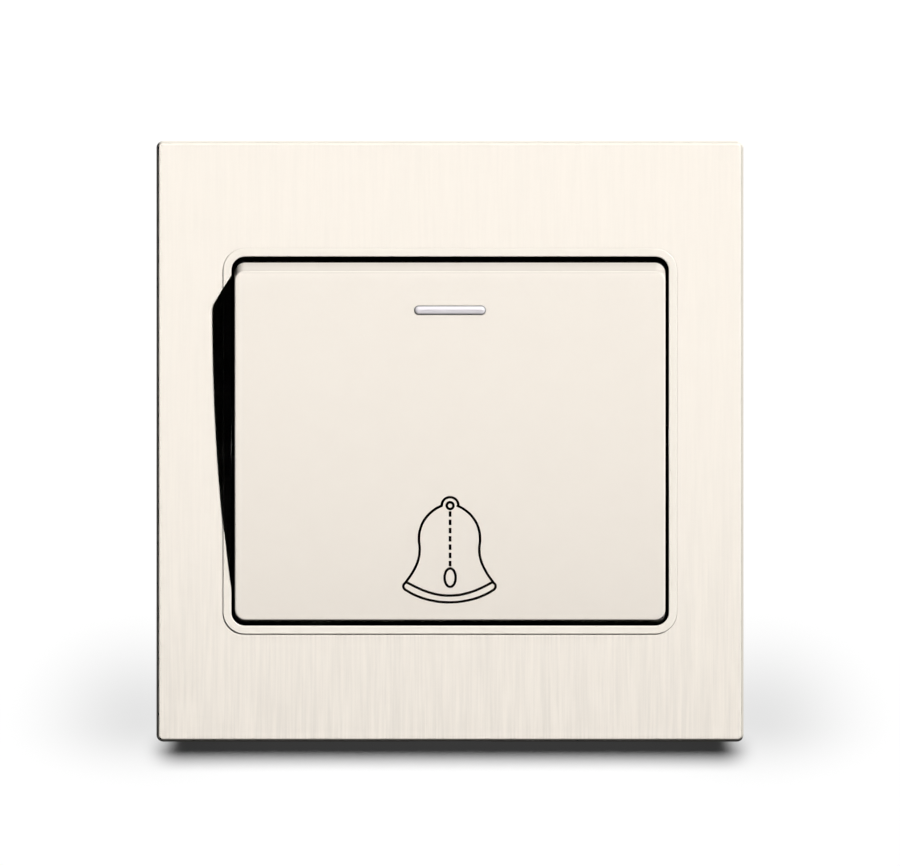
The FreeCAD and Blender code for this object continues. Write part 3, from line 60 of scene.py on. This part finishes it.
PHOTO_WIDTH = 900
PHOTO_HEIGHT = 866
PIXELS_PER_MM = 6.826
PLATE_MIDDLE_ROW = 441.25
CAMERA_DISTANCE = 6.0
SENSOR_WIDTH = 36.0


def across(column):
    """Distance of a pixel column from the middle line."""
    return (column - PHOTO_WIDTH / 2) / PIXELS_PER_MM * MM


def up(row):
    """Height of a pixel row above the middle of the plate."""
    return (PLATE_MIDDLE_ROW - row) / PIXELS_PER_MM * MM


def colour(red, green, blue):
    """A colour written as it shows on a screen, from 0 to 255, as the shader needs it."""
    linear = []
    for part in (red, green, blue):
        share = part / 255
        linear.append(share / 12.92 if share <= 0.04045 else ((share + 0.055) / 1.055) ** 2.4)
    return (*linear, 1.0)


# Shader maths

class Flow:
    """A node's output. Sums of flows and numbers add the Math nodes that they need."""

    def __init__(self, graph, socket):
        self.graph = graph
        self.socket = socket

    def combined(self, operation, first, second):
        return self.graph.node("ShaderNodeMath", {"operation": operation}, {0: first, 1: second})

    def __add__(self, other):
        return self.combined("ADD", self, other)

    def __sub__(self, other):
        return self.combined("SUBTRACT", self, other)

    def __rsub__(self, other):
        return self.combined("SUBTRACT", other, self)

    def __mul__(self, other):
        return self.combined("MULTIPLY", self, other)

    def __truediv__(self, other):
        return self.combined("DIVIDE", self, other)

    def __pow__(self, other):
        return self.combined("POWER", self, other)

    def __rpow__(self, other):
        return self.combined("POWER", other, self)

    def __abs__(self):
        return self.graph.node("ShaderNodeMath", {"operation": "ABSOLUTE"}, {0: self})

    def __gt__(self, other):
        return self.combined("GREATER_THAN", self, other)

    def __lt__(self, other):
        return self.combined("LESS_THAN", self, other)

    __radd__ = __add__
    __rmul__ = __mul__


class Graph:
    """The nodes of a material, lamp or world."""

    def __init__(self, owner):
        owner.use_nodes = True
        self.tree = owner.node_tree
        self.tree.nodes.clear()

    def node(self, kind, settings=None, values=None, output=0):
        """Adds a node: its settings first, then the numbers, colours or flows of its sockets."""
        made = self.tree.nodes.new(kind)
        for name, setting in (settings or {}).items():
            setattr(made, name, setting)
        for name, value in (values or {}).items():
            if isinstance(value, Flow):
                self.tree.links.new(value.socket, made.inputs[name])
            else:
                made.inputs[name].default_value = value
        return Flow(self, made.outputs[output] if made.outputs else None)

    def greater(self, first, second):
        return self.node("ShaderNodeMath", {"operation": "MAXIMUM"}, {0: first, 1: second})

    def ramp(self, factor, low, high):
        """From 0 at low to 1 at high, smoothly."""
        return self.node("ShaderNodeMapRange", {"interpolation_type": "SMOOTHSTEP"},
                         {"Value": factor, "From Min": low, "From Max": high})

    def behind(self, depth, face, span):
        """From 0 to 1 over a span of depths behind a face."""
        return self.ramp(depth, face + span[0], face + span[1])

    def mix(self, factor, first, second):
        return self.node("ShaderNodeMix", {"data_type": "RGBA"}, {0: factor, 6: first, 7: second}, 2)

    def place(self):
        return self.node("ShaderNodeTexCoord", output="Object")

    def parts(self, direction):
        """The three parts of a vector."""
        split = self.node("ShaderNodeSeparateXYZ", values={0: direction})
        return [Flow(self, output) for output in split.socket.node.outputs]

    def axes(self):
        """The three coordinates of a point of the piece."""
        return self.parts(self.place())

    def noise(self, grain, detail=2.0):
        """Noise whose grain is so many metres along X, Y and Z."""
        scaled = self.node("ShaderNodeMapping", values={
            "Vector": self.place(), "Scale": tuple(1 / size for size in grain)})
        return self.node("ShaderNodeTexNoise", values={
            "Vector": scaled, "Scale": 1.0, "Detail": detail, "Roughness": 0.5})

    def even_noise(self, grain, detail=2.0):
        """Noise with the same grain along all three axes."""
        return self.noise((grain, grain, grain), detail)

    def bump(self, height, depth):
        return self.node("ShaderNodeBump", values={"Height": height, "Strength": 1.0, "Distance": depth})

    def principled(self, **values):
        return self.node("ShaderNodeBsdfPrincipled", values={
            name.replace("_", " "): value for name, value in values.items()})

    def shader_mix(self, factor, first, second):
        return self.node("ShaderNodeMixShader", values={0: factor, 1: first, 2: second})

    def end(self, shader):
        self.node("ShaderNodeOutputMaterial", values={0: shader})

    def surface(self, **values):
        """Ends the graph in a Principled surface with these sockets."""
        self.end(self.principled(**values))


def material(name):
    made = bpy.data.materials.new(name)
    return made, Graph(made)


# Finishes

PLATE_CREAM = colour(255, 247, 236)
PLATE_STREAK = colour(236, 229, 219)
# Painted shade: the plate's rounded rim and its sides are coloured darker, which brings down their highlight and
# lit faces
PLATE_EDGE_SHADE = colour(188, 182, 171)
PLATE_SIDE_SHADE = colour(219, 214, 204)
LIP_CREAM = colour(253, 246, 235)
LIP_SHADE = colour(250, 242, 230)
ROCKER_CREAM = colour(255, 247, 236)
ROCKER_SHADE = colour(251, 242, 231)
# Painted shade on the rocker's crest, against its highlight
ROCKER_CREST_SHADE = colour(242, 234, 223)
# Painted near-black shade on the rocker's upper end, inside the gap behind the lip
GAP_SHADE_BLACK = colour(8, 7, 6)
MILK = colour(252, 247, 250)
MILK_SHADE = colour(245, 240, 244)
# Painted shade round the indicator bar's rim
BAR_RIM_SHADE = colour(110, 108, 108)

# Depths behind the plate's face, from where the rim's painted shade starts, the gloss goes and the sides' painted
# shade comes
RIM_SHADE_SPAN = (0.003 * MM, 0.05 * MM)
DULL_SPAN = (0.1 * MM, 0.3 * MM)
SIDE_SHADE_SPAN = (0.2 * MM, 0.35 * MM)
STREAKS_SEEN = 0.2
STREAKS_MORE_BELOW = 0.65

# Where the rocker's upper end is painted near-black as shade, at rest: behind the lip's front and above this
# height
GAP_SHADE_SPAN = (-0.05 * MM, 0.25 * MM)
GAP_SHADE_HEIGHT = (24.0 * MM, 25.0 * MM)
# Heights of the crest's band of painted shade
CREST_SHADE_FROM = (24.45 * MM, 24.65 * MM)
CREST_SHADE_TO = (25.12 * MM, 24.98 * MM)
DULL_CREST = (24.0 * MM, 24.7 * MM)

BAR_DEPTH = 0.4 * MM
# Width of the painted shade round the bar's rim
BAR_RIM_SHADE_WIDTH = 0.2 * MM


def brushed_plate():
    """Cream finish with fine upright brushing that shows more towards the bottom, and plain sides; the rounded rim
    and the sides carry painted shade.
    """
    made, graph = material("brushed_plate")
    _, depth, height = graph.axes()
    low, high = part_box("face_plate")
    lower = graph.ramp(height, high.z * 0.35, -high.z)
    fine = graph.noise((0.30 * MM, 5 * MM, 9 * MM))
    broad = graph.noise((2.2 * MM, 9 * MM, 34 * MM))
    hairs = graph.noise((0.16 * MM, 5 * MM, 5 * MM), 1.0)
    streaks = graph.ramp(fine * 0.6 + broad * 0.4, 0.28, 0.72)
    shade = graph.mix(streaks * (STREAKS_SEEN + lower * lower * STREAKS_MORE_BELOW), PLATE_CREAM, PLATE_STREAK)
    # painted shade: the rounded rim darker, then the plain sides
    shade = graph.mix(graph.behind(depth, low.y, RIM_SHADE_SPAN), shade, PLATE_EDGE_SHADE)
    shade = graph.mix(graph.behind(depth, low.y, SIDE_SHADE_SPAN), shade, PLATE_SIDE_SHADE)
    brushed = graph.principled(
        Base_Color=shade, Roughness=0.40 + streaks * 0.12,
        Normal=graph.bump(fine * 0.6 + hairs * 0.4, 0.004 * MM))
    dull = graph.principled(Base_Color=shade, Roughness=0.9, Specular_IOR_Level=0.0)
    graph.end(graph.shader_mix(graph.behind(depth, low.y, DULL_SPAN), brushed, dull))
    return made


def lip_plastic():
    """Plain satin cream with fine grain."""
    made, graph = material("lip_plastic")
    grain = graph.even_noise(0.25 * MM)
    cloud = graph.even_noise(14 * MM)
    graph.surface(
        Base_Color=graph.mix(cloud * 0.5, LIP_CREAM, LIP_SHADE), Roughness=0.36 + grain * 0.08,
        Normal=graph.bump(grain, 0.002 * MM))
    return made


def rocker_plastic():
    """Smooth satin cream with the faintest moulded ripple, and a touch of painted shade on the crest against its
    highlight.

    The upper end behind the lip is painted near-black as shade.
    """
    made, graph = material("rocker_plastic")
    _, depth, height = graph.axes()
    # painted shade: near-black where the upper end sits behind the lip at rest
    gap_shade = graph.behind(depth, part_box("rocker_surround")[0].y, GAP_SHADE_SPAN) * graph.ramp(height, *GAP_SHADE_HEIGHT)
    ripple = graph.even_noise(3.5 * MM)
    grain = graph.even_noise(0.20 * MM)
    cream = graph.mix(ripple * 0.5, ROCKER_CREAM, ROCKER_SHADE)
    # painted shade over the crest, which softens its highlight
    cream = graph.mix(graph.ramp(height, *CREST_SHADE_FROM) * graph.ramp(height, *CREST_SHADE_TO), cream, ROCKER_CREST_SHADE)
    graph.surface(
        Base_Color=graph.mix(gap_shade, cream, GAP_SHADE_BLACK),
        Roughness=0.34 + grain * 0.08 + graph.ramp(height, *DULL_CREST) * 0.5, Specular_IOR_Level=0.3,
        Normal=graph.bump(ripple * 0.7 + grain * 0.3, 0.003 * MM))
    return made


def moulded(name, main, shade, roughness, grain_depth=0.01 * MM):
    """Dull moulded plastic with fine sparks of grain and soft clouds of colour."""
    made, graph = material(name)
    grain = graph.even_noise(0.35 * MM, 3.0)
    cloud = graph.even_noise(9 * MM)
    graph.surface(
        Base_Color=graph.mix(cloud, main, shade), Roughness=roughness + grain * 0.15,
        Normal=graph.bump(grain, grain_depth))
    return made


def indicator():
    """Milky, glossy bar with a silvery body, and painted shade round its rim where it meets the rocker."""
    made, graph = material("indicator")
    cloud = graph.even_noise(1.6 * MM)
    corners = [corner.co for corner in NODES["indicator_lens"].data.vertices]
    front = min(place.y for place in corners)
    bar = [place for place in corners if place.y < front + BAR_DEPTH]
    middle = (min(place.z for place in bar) + max(place.z for place in bar)) / 2
    half_height = max(place.z for place in bar) - middle
    half_width = max(place.x for place in bar)
    sideways, _, height = graph.axes()
    past_end = graph.greater(abs(sideways) - (half_width - half_height), 0.0)
    rise = height - middle
    outwards = (past_end * past_end + rise * rise) ** 0.5
    # painted shade round the bar's rim, where it meets the rocker
    rim = graph.ramp(outwards, half_height - BAR_RIM_SHADE_WIDTH, half_height)
    graph.surface(
        Base_Color=graph.mix(rim * 0.75, graph.mix(cloud, MILK, MILK_SHADE), BAR_RIM_SHADE),
        Roughness=0.28 + cloud * 0.06, Coat_Weight=0.2)
    return made


def metal(name, main, shade, roughness, grain):
    """Bare metal with the fine lines of its making."""
    made, graph = material(name)
    lines = graph.noise(grain, 3.0)
    cloud = graph.even_noise(2.5 * MM)
    graph.surface(
        Base_Color=graph.mix(cloud, main, shade), Metallic=1.0, Roughness=roughness + lines * 0.15,
        Normal=graph.bump(lines, 0.003 * MM))
    return made


def ink():
    """Near-black print, slightly uneven."""
    made, graph = material("bell_ink")
    wear = graph.even_noise(0.5 * MM)
    graph.surface(
        Base_Color=graph.mix(wear, colour(36, 28, 22), colour(48, 39, 31)), Roughness=0.5 + wear * 0.1)
    return made


FINISHES = {
    "brushed_plate": brushed_plate(),
    "lip_plastic": lip_plastic(),
    "rocker_plastic": rocker_plastic(),
    "dark_plastic": moulded("dark_plastic", colour(26, 26, 27), colour(34, 34, 35), 0.6, 0.003 * MM),
    "case_plastic": moulded("case_plastic", colour(226, 224, 218), colour(216, 214, 207), 0.42),
    "cover_plastic": moulded("cover_plastic", colour(205, 203, 197), colour(196, 193, 187), 0.45),
    "cradle_plastic": moulded("cradle_plastic", colour(178, 179, 178), colour(168, 168, 167), 0.4),
    "indicator": indicator(),
    "steel": metal("steel", colour(205, 206, 208), colour(190, 190, 194), 0.24,
                   (0.4 * MM, 0.4 * MM, 0.1 * MM)),
    "spring_steel": metal("spring_steel", colour(190, 191, 194), colour(172, 172, 175), 0.26,
                          (0.3 * MM, 0.05 * MM, 0.3 * MM)),
    "brass": metal("brass", colour(214, 176, 98), colour(198, 158, 84), 0.28,
                   (1.5 * MM, 0.3 * MM, 0.1 * MM)),
    "silver": metal("silver", colour(226, 226, 222), colour(210, 209, 204), 0.3,
                    (0.2 * MM, 0.2 * MM, 0.2 * MM)),
}

for row in frame["record"]["subparts"]:
    NODES[row["node"]].material_slots[0].material = FINISHES[row["material_slot"]]


# Modelling by hand

def start_piece():
    """Leaves nothing selected, so that an operator acts on the new piece alone."""
    if bpy.context.object and bpy.context.object.mode != "OBJECT":
        bpy.ops.object.mode_set(mode="OBJECT")
    bpy.ops.object.select_all(action="DESELECT")


def settle():
    """Puts a piece's place, turn and size into its mesh."""
    bpy.ops.object.transform_apply(location=True, rotation=True, scale=True)


def finish_piece(piece, name, body, finish):
    piece.name = name
    piece.data.name = name
    piece.data.materials.clear()
    piece.data.materials.append(finish)
    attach(piece, body)
    return piece


# The bell printed on the rocker. Its lines run through pixels of the photograph.

LINE_WIDTH = 0.36 * MM
INK_THICKNESS = 0.02 * MM
BELL_MIDDLE = 449.5
BELL_SIDE = ((442.3, 505.2), (434.2, 509.7), (425.5, 518.2), (420.3, 529.0), (419.0, 539.0), (419.8, 549.5),
             (418.0, 560.5), (412.4, 572.6), (405.6, 582.4))
BELL_RIM = ((406.4, 581.8), (415.7, 586.7), (424.6, 590.6), (433.6, 593.4), (442.5, 595.0))
BELL_RIM_LOW = ((406.4, 581.8), (403.6, 584.8), (404.0, 588.0), (407.7, 590.9), (415.7, 595.2), (424.6, 598.5),
                (433.6, 600.6), (442.5, 601.8))
STRING = 450.1
LOOP_ROW = 505.5
LOOP_RADIUS = 8.4
LOOP_STEPS = 8
EYE_RADIUS = 3.35
DASH_TOP = 511.2
DASH_LENGTH = 5.4
DASH_PITCH = 8.25
DASH_COUNT = 7
DASH_WIDTH = 0.39 * MM
CLAPPER_ROW = 577.4
CLAPPER_HALF_WIDTH = 5.5
CLAPPER_HALF_HEIGHT = 9.2


def stroke(points, closed=False, width=LINE_WIDTH, smooth=True):
    """A drawn line through pixels of the photograph, as a tube in the plane Y = 0."""
    start_piece()
    bpy.ops.curve.primitive_bezier_curve_add()
    line = bpy.context.object
    spline = line.data.splines[0]
    spline.bezier_points.add(len(points) - len(spline.bezier_points))
    spline.use_cyclic_u = closed
    for knot, (column, row) in zip(spline.bezier_points, points):
        knot.co = (across(column), 0, up(row))
        knot.handle_left_type = knot.handle_right_type = "AUTO" if smooth else "VECTOR"
    line.data.resolution_u = 10
    line.data.bevel_depth = width / 2
    line.data.bevel_resolution = 2
    line.data.use_fill_caps = True
    bpy.ops.object.convert(target="MESH")
    return bpy.context.object


def arc(row, wide, high, end, steps):
    """Pixels round an ellipse on the string, counted from the right and turning upwards."""
    angles = [math.radians(end * step / steps) for step in range(steps + 1)]
    return [(STRING + wide * math.cos(angle), row - high * math.sin(angle)) for angle in angles]


def ring(row, wide, high):
    """A closed line round such an ellipse."""
    return stroke(arc(row, wide, high, 360, 12)[:-1], closed=True)


def other_side(points):
    return [(2 * BELL_MIDDLE - column, row) for column, row in reversed(points)]


def lay_on_rocker(drawing):
    """Presses a drawing in the plane Y = 0 flat onto the rocker's face."""
    rocker = NODES["rocker"]
    for corner in drawing.data.vertices:
        found, place, _, _ = rocker.ray_cast(Vector((corner.co.x, -1.0, corner.co.z)), Vector((0, 1, 0)))
        if not found:
            raise RuntimeError("the drawing leaves the rocker")
        corner.co.y = place.y + corner.co.y / (LINE_WIDTH / 2) * INK_THICKNESS


def bell_print():
    """All lines of the bell as one print that lies on the rocker's curved face."""
    lines = [stroke(BELL_SIDE), stroke(other_side(BELL_SIDE))]
    for drawn in (BELL_RIM, BELL_RIM_LOW):
        lines.append(stroke([*drawn, *other_side(drawn)]))
    lines.append(stroke(arc(LOOP_ROW, LOOP_RADIUS, LOOP_RADIUS, 180, LOOP_STEPS)))
    lines.append(ring(LOOP_ROW, EYE_RADIUS, EYE_RADIUS))
    lines.append(ring(CLAPPER_ROW, CLAPPER_HALF_WIDTH, CLAPPER_HALF_HEIGHT))
    for dash in range(DASH_COUNT):
        top = DASH_TOP + dash * DASH_PITCH
        lines.append(stroke(((STRING, top), (STRING, top + DASH_LENGTH)), width=DASH_WIDTH, smooth=False))
    start_piece()
    for line in lines:
        line.select_set(True)
    bpy.context.view_layer.objects.active = lines[0]
    bpy.ops.object.join()
    settle()
    drawing = bpy.context.object
    lay_on_rocker(drawing)
    bpy.ops.object.shade_smooth()
    return finish_piece(drawing, "bell_print", "rocker", ink())


bell = bell_print()


# The return spring, in round wire

SPRING_WIRE = 0.25 * MM
SPRING_SIDES = 12
SPRING_PITCH = 1.25 * MM
SPRING_RADIUS = 2.6 * MM
SPRING_STEPS = 160
SPRING_SMOOTH_BELOW = math.radians(40)


def return_spring():
    """A round wire wound by a screw about the plunger's axis."""
    low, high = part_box("return_spring")
    plunger_low, plunger_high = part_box("plunger")
    axis_height = (plunger_low.z + plunger_high.z) / 2
    length = high.y - low.y
    start_piece()
    bpy.ops.mesh.primitive_circle_add(vertices=SPRING_SIDES, radius=SPRING_WIRE, fill_type="NOTHING")
    wire = bpy.context.object
    bpy.ops.object.mode_set(mode="EDIT")
    bpy.ops.mesh.select_all(action="SELECT")
    bpy.ops.transform.translate(value=(SPRING_RADIUS, 0, 0))
    bpy.ops.object.mode_set(mode="OBJECT")
    winding = wire.modifiers.new("Winding", "SCREW")
    winding.axis = "Y"
    winding.angle = 2 * math.pi * (length - 2 * SPRING_WIRE) / SPRING_PITCH
    winding.screw_offset = length - 2 * SPRING_WIRE
    winding.steps = winding.render_steps = SPRING_STEPS
    winding.use_merge_vertices = False
    bpy.ops.object.modifier_apply(modifier=winding.name)
    wire.location = (0, low.y + SPRING_WIRE, axis_height)
    settle()
    bpy.ops.object.mode_set(mode="EDIT")
    bpy.ops.mesh.select_all(action="SELECT")
    bpy.ops.mesh.region_to_loop()
    bpy.ops.mesh.edge_face_add()
    bpy.ops.mesh.select_all(action="SELECT")
    bpy.ops.mesh.normals_make_consistent(inside=False)
    bpy.ops.object.mode_set(mode="OBJECT")
    bpy.ops.object.shade_smooth_by_angle(angle=SPRING_SMOOTH_BELOW)
    finish_piece(wire, "return_spring_wire", "base", FINISHES["spring_steel"])
    slide = next(joint for joint in frame["joints"] if joint["name"] == "plunger_slide")
    fixed_end = slide["deforming_nodes"][0]["fixed_end_y_m"]
    free_length = fixed_end - low.y
    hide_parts("return_spring")
    (free_length - slide["range_m"][1]) / free_length
    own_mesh(wire)


return_spring()


# Wall and floor

BLACK = (0, 0, 0, 1)
WALL_HALF = 0.9
WALL_AHEAD = 0.05 * MM
WALL_WHITE = (0.98, 0.98, 0.98, 1)
WALL_GLOW = 0.04
# Half-width of the painted black shade where the wall box is
BOX_HALF = 38 * MM
# Soft grey patches of painted shadow beside the plate's lower corners
PATCH_ACROSS = 45 * MM
PATCH_SPREAD = 13 * MM
PATCH_UP = -41 * MM
PATCH_RISE = 11 * MM
PATCH_DROP = 6 * MM
SHADOW_PATCH_DEPTH = 0.24
FLOOR_DROP = 0.075
FLOOR_SIZE = 4.0
FLAG_FADE = (39.6 * MM, 44.6 * MM)
FLAG_NARROW = (40.2 * MM, 41.2 * MM)
FLAG_WIDE_BELOW = -39.2 * MM


def upright_plane(name, size, place):
    """A plane that faces the camera."""
    start_piece()
    bpy.ops.mesh.primitive_plane_add(size=size, location=place, rotation=(math.pi / 2, 0, 0))
    plane = bpy.context.object
    plane.name = name
    return plane


def wall():
    """Pale wall behind the plate, open to a view from behind, painted black as shade where the wall box is.

    Two soft grey patches of painted shadow stand beside the plate's lower corners. The wall is a hair ahead of the
    frame's back, because on the same plane the two would flicker through each other.
    """
    plane = upright_plane("wall", 2 * WALL_HALF, (0, -WALL_AHEAD, 0))
    settle()
    made, graph = material("wall_white_and_painted_shade")
    across_wall, _, height = graph.axes()
    aside = abs(across_wall)
    # painted black shade where the wall box is, inside this outline
    outside_box = graph.greater(aside, abs(height)) > BOX_HALF
    # soft grey patches of painted shadow beside the plate's lower corners
    reach = (height > PATCH_UP) * (PATCH_RISE - PATCH_DROP) + PATCH_DROP
    sideways = (aside - PATCH_ACROSS) / PATCH_SPREAD
    upwards = (height - PATCH_UP) / reach
    painted_shadow = math.e ** (0 - (sideways * sideways + upwards * upwards))
    grey = graph.mix((1 - painted_shadow * SHADOW_PATCH_DEPTH) * outside_box, BLACK, WALL_WHITE)
    paint = graph.node("ShaderNodeBsdfDiffuse", values={"Color": grey})
    glow = graph.node("ShaderNodeEmission", values={"Color": grey, "Strength": WALL_GLOW})
    lit = graph.node("ShaderNodeAddShader", values={0: paint, 1: glow})
    behind = graph.node("ShaderNodeNewGeometry", output="Backfacing")
    graph.end(graph.shader_mix(behind, lit, graph.node("ShaderNodeBsdfTransparent")))
    plane.data.materials.append(made)
    plane.visible_diffuse = False
    return plane


def floor(name, side):
    """One half of the floor: -1 is in front of the wall and 1 behind it."""
    start_piece()
    bpy.ops.mesh.primitive_plane_add(size=FLOOR_SIZE)
    plane = bpy.context.object
    plane.name = name
    plane.scale = (1, 0.5, 1)
    plane.location = (0, side * FLOOR_SIZE / 4, -FLOOR_DROP)
    settle()
    made, graph = material(f"{name}_paint")
    graph.surface(Base_Color=colour(240, 240, 240), Roughness=0.9)
    plane.data.materials.append(made)
    plane.visible_diffuse = False
    return plane


def shadow_flag():
    """An unseen flag of the chassis's outline that shades the wall. Its lower edge is wider, with soft ends."""
    low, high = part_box("chassis")
    flag = upright_plane("shadow_flag", 2, (0, low.y, 0))
    flag.scale = (FLAG_FADE[1], high.z, 1)
    settle()
    made, graph = material("flag_cloth")
    across_flag, _, height = graph.axes()
    aside = abs(across_flag)
    narrow = graph.ramp(aside, *FLAG_NARROW)
    open_share = narrow + (graph.ramp(aside, *FLAG_FADE) - narrow) * (height < FLAG_WIDE_BELOW)
    cloth = graph.node("ShaderNodeBsdfDiffuse", values={"Color": BLACK})
    graph.end(graph.shader_mix(open_share, cloth, graph.node("ShaderNodeBsdfTransparent")))
    flag.data.materials.append(made)
    for ray_kind in ("camera", "diffuse", "glossy", "transmission"):
        setattr(flag, f"visible_{ray_kind}", False)
    return flag


backdrop = wall()
ground = floor("floor", -1)
rear_ground = floor("rear_floor", 1)
flag = shadow_flag()
rocker_group = [NODES["rocker"], NODES["indicator_lens"], bell]
front_pieces = [NODES["face_plate"], NODES["rocker_surround"], *rocker_group]
for front_piece in front_pieces:
    front_piece.visible_diffuse = False


# Lamps. A fade is a lamp's brightness at the middle, its slope and its bend over the height.

FAR = 4.0
POINT_RADIUS = 0.06
KEY_DIRECTION = Vector((0.915, -1.0, 1.15))
KEY_FADE = (1.069, 1.875, -8.9)
KEY_PLANE = 8.6 * MM
ROCKER_LAMP_DIRECTION = Vector((0.45, -0.78, 0.434))
ROCKER_LAMP_FADE = (1.107, 1.593, -79)
ROCKER_LAMP_PLANE = 11 * MM
WALL_LAMP_DISTANCE = 3.0
WALL_LAMP_TILT = math.radians(36)
WALL_LAMP_SPREAD = math.radians(9.6)
WALL_LAMP_LEVEL = 1.06
BACK_LAMPS = {
    "left": Vector((-0.85, 0.5, 0.2)),
    "right": Vector((0.85, 0.5, 0.2)),
    "high": Vector((0, 0.5, 0.86)),
    "straight": Vector((-0.12, 1, 0)),
}
BACK_LAMP_DISTANCE = 0.8
BACK_LAMP_POWER = 3.0
BACK_LAMP_SIZE = 0.3


def lamp(name, kind, direction, distance, strength, **settings):
    """A lamp that far from the middle of the plate, facing it."""
    data = bpy.data.lights.new(name, kind)
    data.energy = strength
    for setting, value in settings.items():
        setattr(data, setting, value)
    made = bpy.data.objects.new(name, data)
    made.location = direction.normalized() * distance
    made.rotation_euler = (-direction).to_track_quat("-Z", "Y").to_euler()
    made.visible_camera = False
    bpy.context.scene.collection.objects.link(made)
    return made


def far_lamp(name, direction, brightness, plane_front):
    """A small far lamp, at which a white surface that faces the camera shows its own brightness."""
    facing = -direction.normalized().y
    made = lamp(name, "POINT", direction, FAR, 4 * math.pi ** 2 / facing, shadow_soft_size=POINT_RADIUS)
    fade(made, brightness, plane_front)
    return made


def fade(source, brightness, plane_front):
    """Brightness of a far lamp over the height of a plane, as middle + slope * z + bend * z * z."""
    middle, slope, bend = brightness
    graph = Graph(source.data)
    source.rotation_euler = (0, 0, 0)
    _, ahead, upwards = graph.parts(graph.node("ShaderNodeTexCoord", output="Normal"))
    height = upwards / ahead * (-plane_front - source.location.y) + source.location.z
    strength = height * height * bend + height * slope + middle
    steady = graph.node("ShaderNodeLightFalloff", values={"Strength": strength}, output="Constant")
    emission = graph.node("ShaderNodeEmission", values={"Strength": steady})
    graph.node("ShaderNodeOutputLight", values={0: emission})


def linked(source, use, objects, included):
    """Makes these objects alone, or all but these, a lamp's receivers or its blockers."""
    group = bpy.data.collections.new(f"{source.name}_{use}s")
    for thing in objects:
        group.objects.link(thing)
    for member in group.collection_objects:
        member.light_linking.link_state = "INCLUDE" if included else "EXCLUDE"
    setattr(source.light_linking, f"{use}_collection", group)


key = far_lamp("key_lamp", KEY_DIRECTION, KEY_FADE, KEY_PLANE)
linked(key, "receiver", [backdrop, *rocker_group], False)
linked(key, "blocker", [flag], False)

rocker_lamp = far_lamp("rocker_lamp", ROCKER_LAMP_DIRECTION, ROCKER_LAMP_FADE, ROCKER_LAMP_PLANE)
linked(rocker_lamp, "receiver", rocker_group, True)
linked(rocker_lamp, "blocker", [flag], False)

wall_lamp = lamp("wall_lamp", "AREA", Vector((0, -math.cos(WALL_LAMP_TILT), math.sin(WALL_LAMP_TILT))),
                 WALL_LAMP_DISTANCE,
                 WALL_LAMP_LEVEL * math.pi ** 2 * WALL_LAMP_DISTANCE ** 2 / math.cos(WALL_LAMP_TILT),
                 shape="DISK", size=2 * WALL_LAMP_DISTANCE * math.tan(WALL_LAMP_SPREAD))
linked(wall_lamp, "receiver", [backdrop], True)
linked(wall_lamp, "blocker", [flag], True)

for side, direction in BACK_LAMPS.items():
    back = lamp(f"back_lamp_{side}", "AREA", direction, BACK_LAMP_DISTANCE, BACK_LAMP_POWER,
                shape="SQUARE", size=BACK_LAMP_SIZE)
    if side == "straight":
        linked(back, "receiver", front_pieces, True)
    else:
        linked(back, "receiver", [backdrop, ground, *front_pieces], False)
    linked(back, "blocker", [backdrop, ground, rear_ground, flag], False)


# World and camera

REAR_SKY = (0.1, 0.6)
FRONT_MIRRORED = 0.01
REAR_SOFT_LIGHT = 0.15

world = bpy.data.worlds.new("studio")
bpy.context.scene.world = world
sky = Graph(world)
seen = sky.node("ShaderNodeLightPath", output="Is Camera Ray")
rays = {kind: Flow(sky, seen.socket.node.outputs[f"Is {kind} Ray"])
        for kind in ("Glossy", "Transmission", "Diffuse")}
mirrored = rays["Glossy"] + rays["Transmission"]
_, towards_rear, _ = sky.parts(sky.node("ShaderNodeTexCoord", output="Generated"))
rear = sky.ramp(towards_rear, *REAR_SKY)
sky_light = sky.node("ShaderNodeBackground", values={
    "Strength": seen + mirrored * (rear * (1 - FRONT_MIRRORED) + FRONT_MIRRORED)
    + rays["Diffuse"] * rear * REAR_SOFT_LIGHT})
sky.node("ShaderNodeOutputWorld", values={0: sky_light})

camera_data = bpy.data.cameras.new("camera")
camera = bpy.data.objects.new("camera", camera_data)
bpy.context.scene.collection.objects.link(camera)
wall_distance = CAMERA_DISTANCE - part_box("face_plate")[0].y
view_width = PHOTO_WIDTH / PIXELS_PER_MM * MM
camera_data.sensor_width = SENSOR_WIDTH
camera_data.lens = SENSOR_WIDTH * wall_distance / view_width
camera.location = (0, -wall_distance, up(PHOTO_HEIGHT / 2))
camera.rotation_euler = (math.pi / 2, 0, 0)
bpy.context.scene.camera = camera
bpy.context.scene.view_settings.view_transform = "Standard"
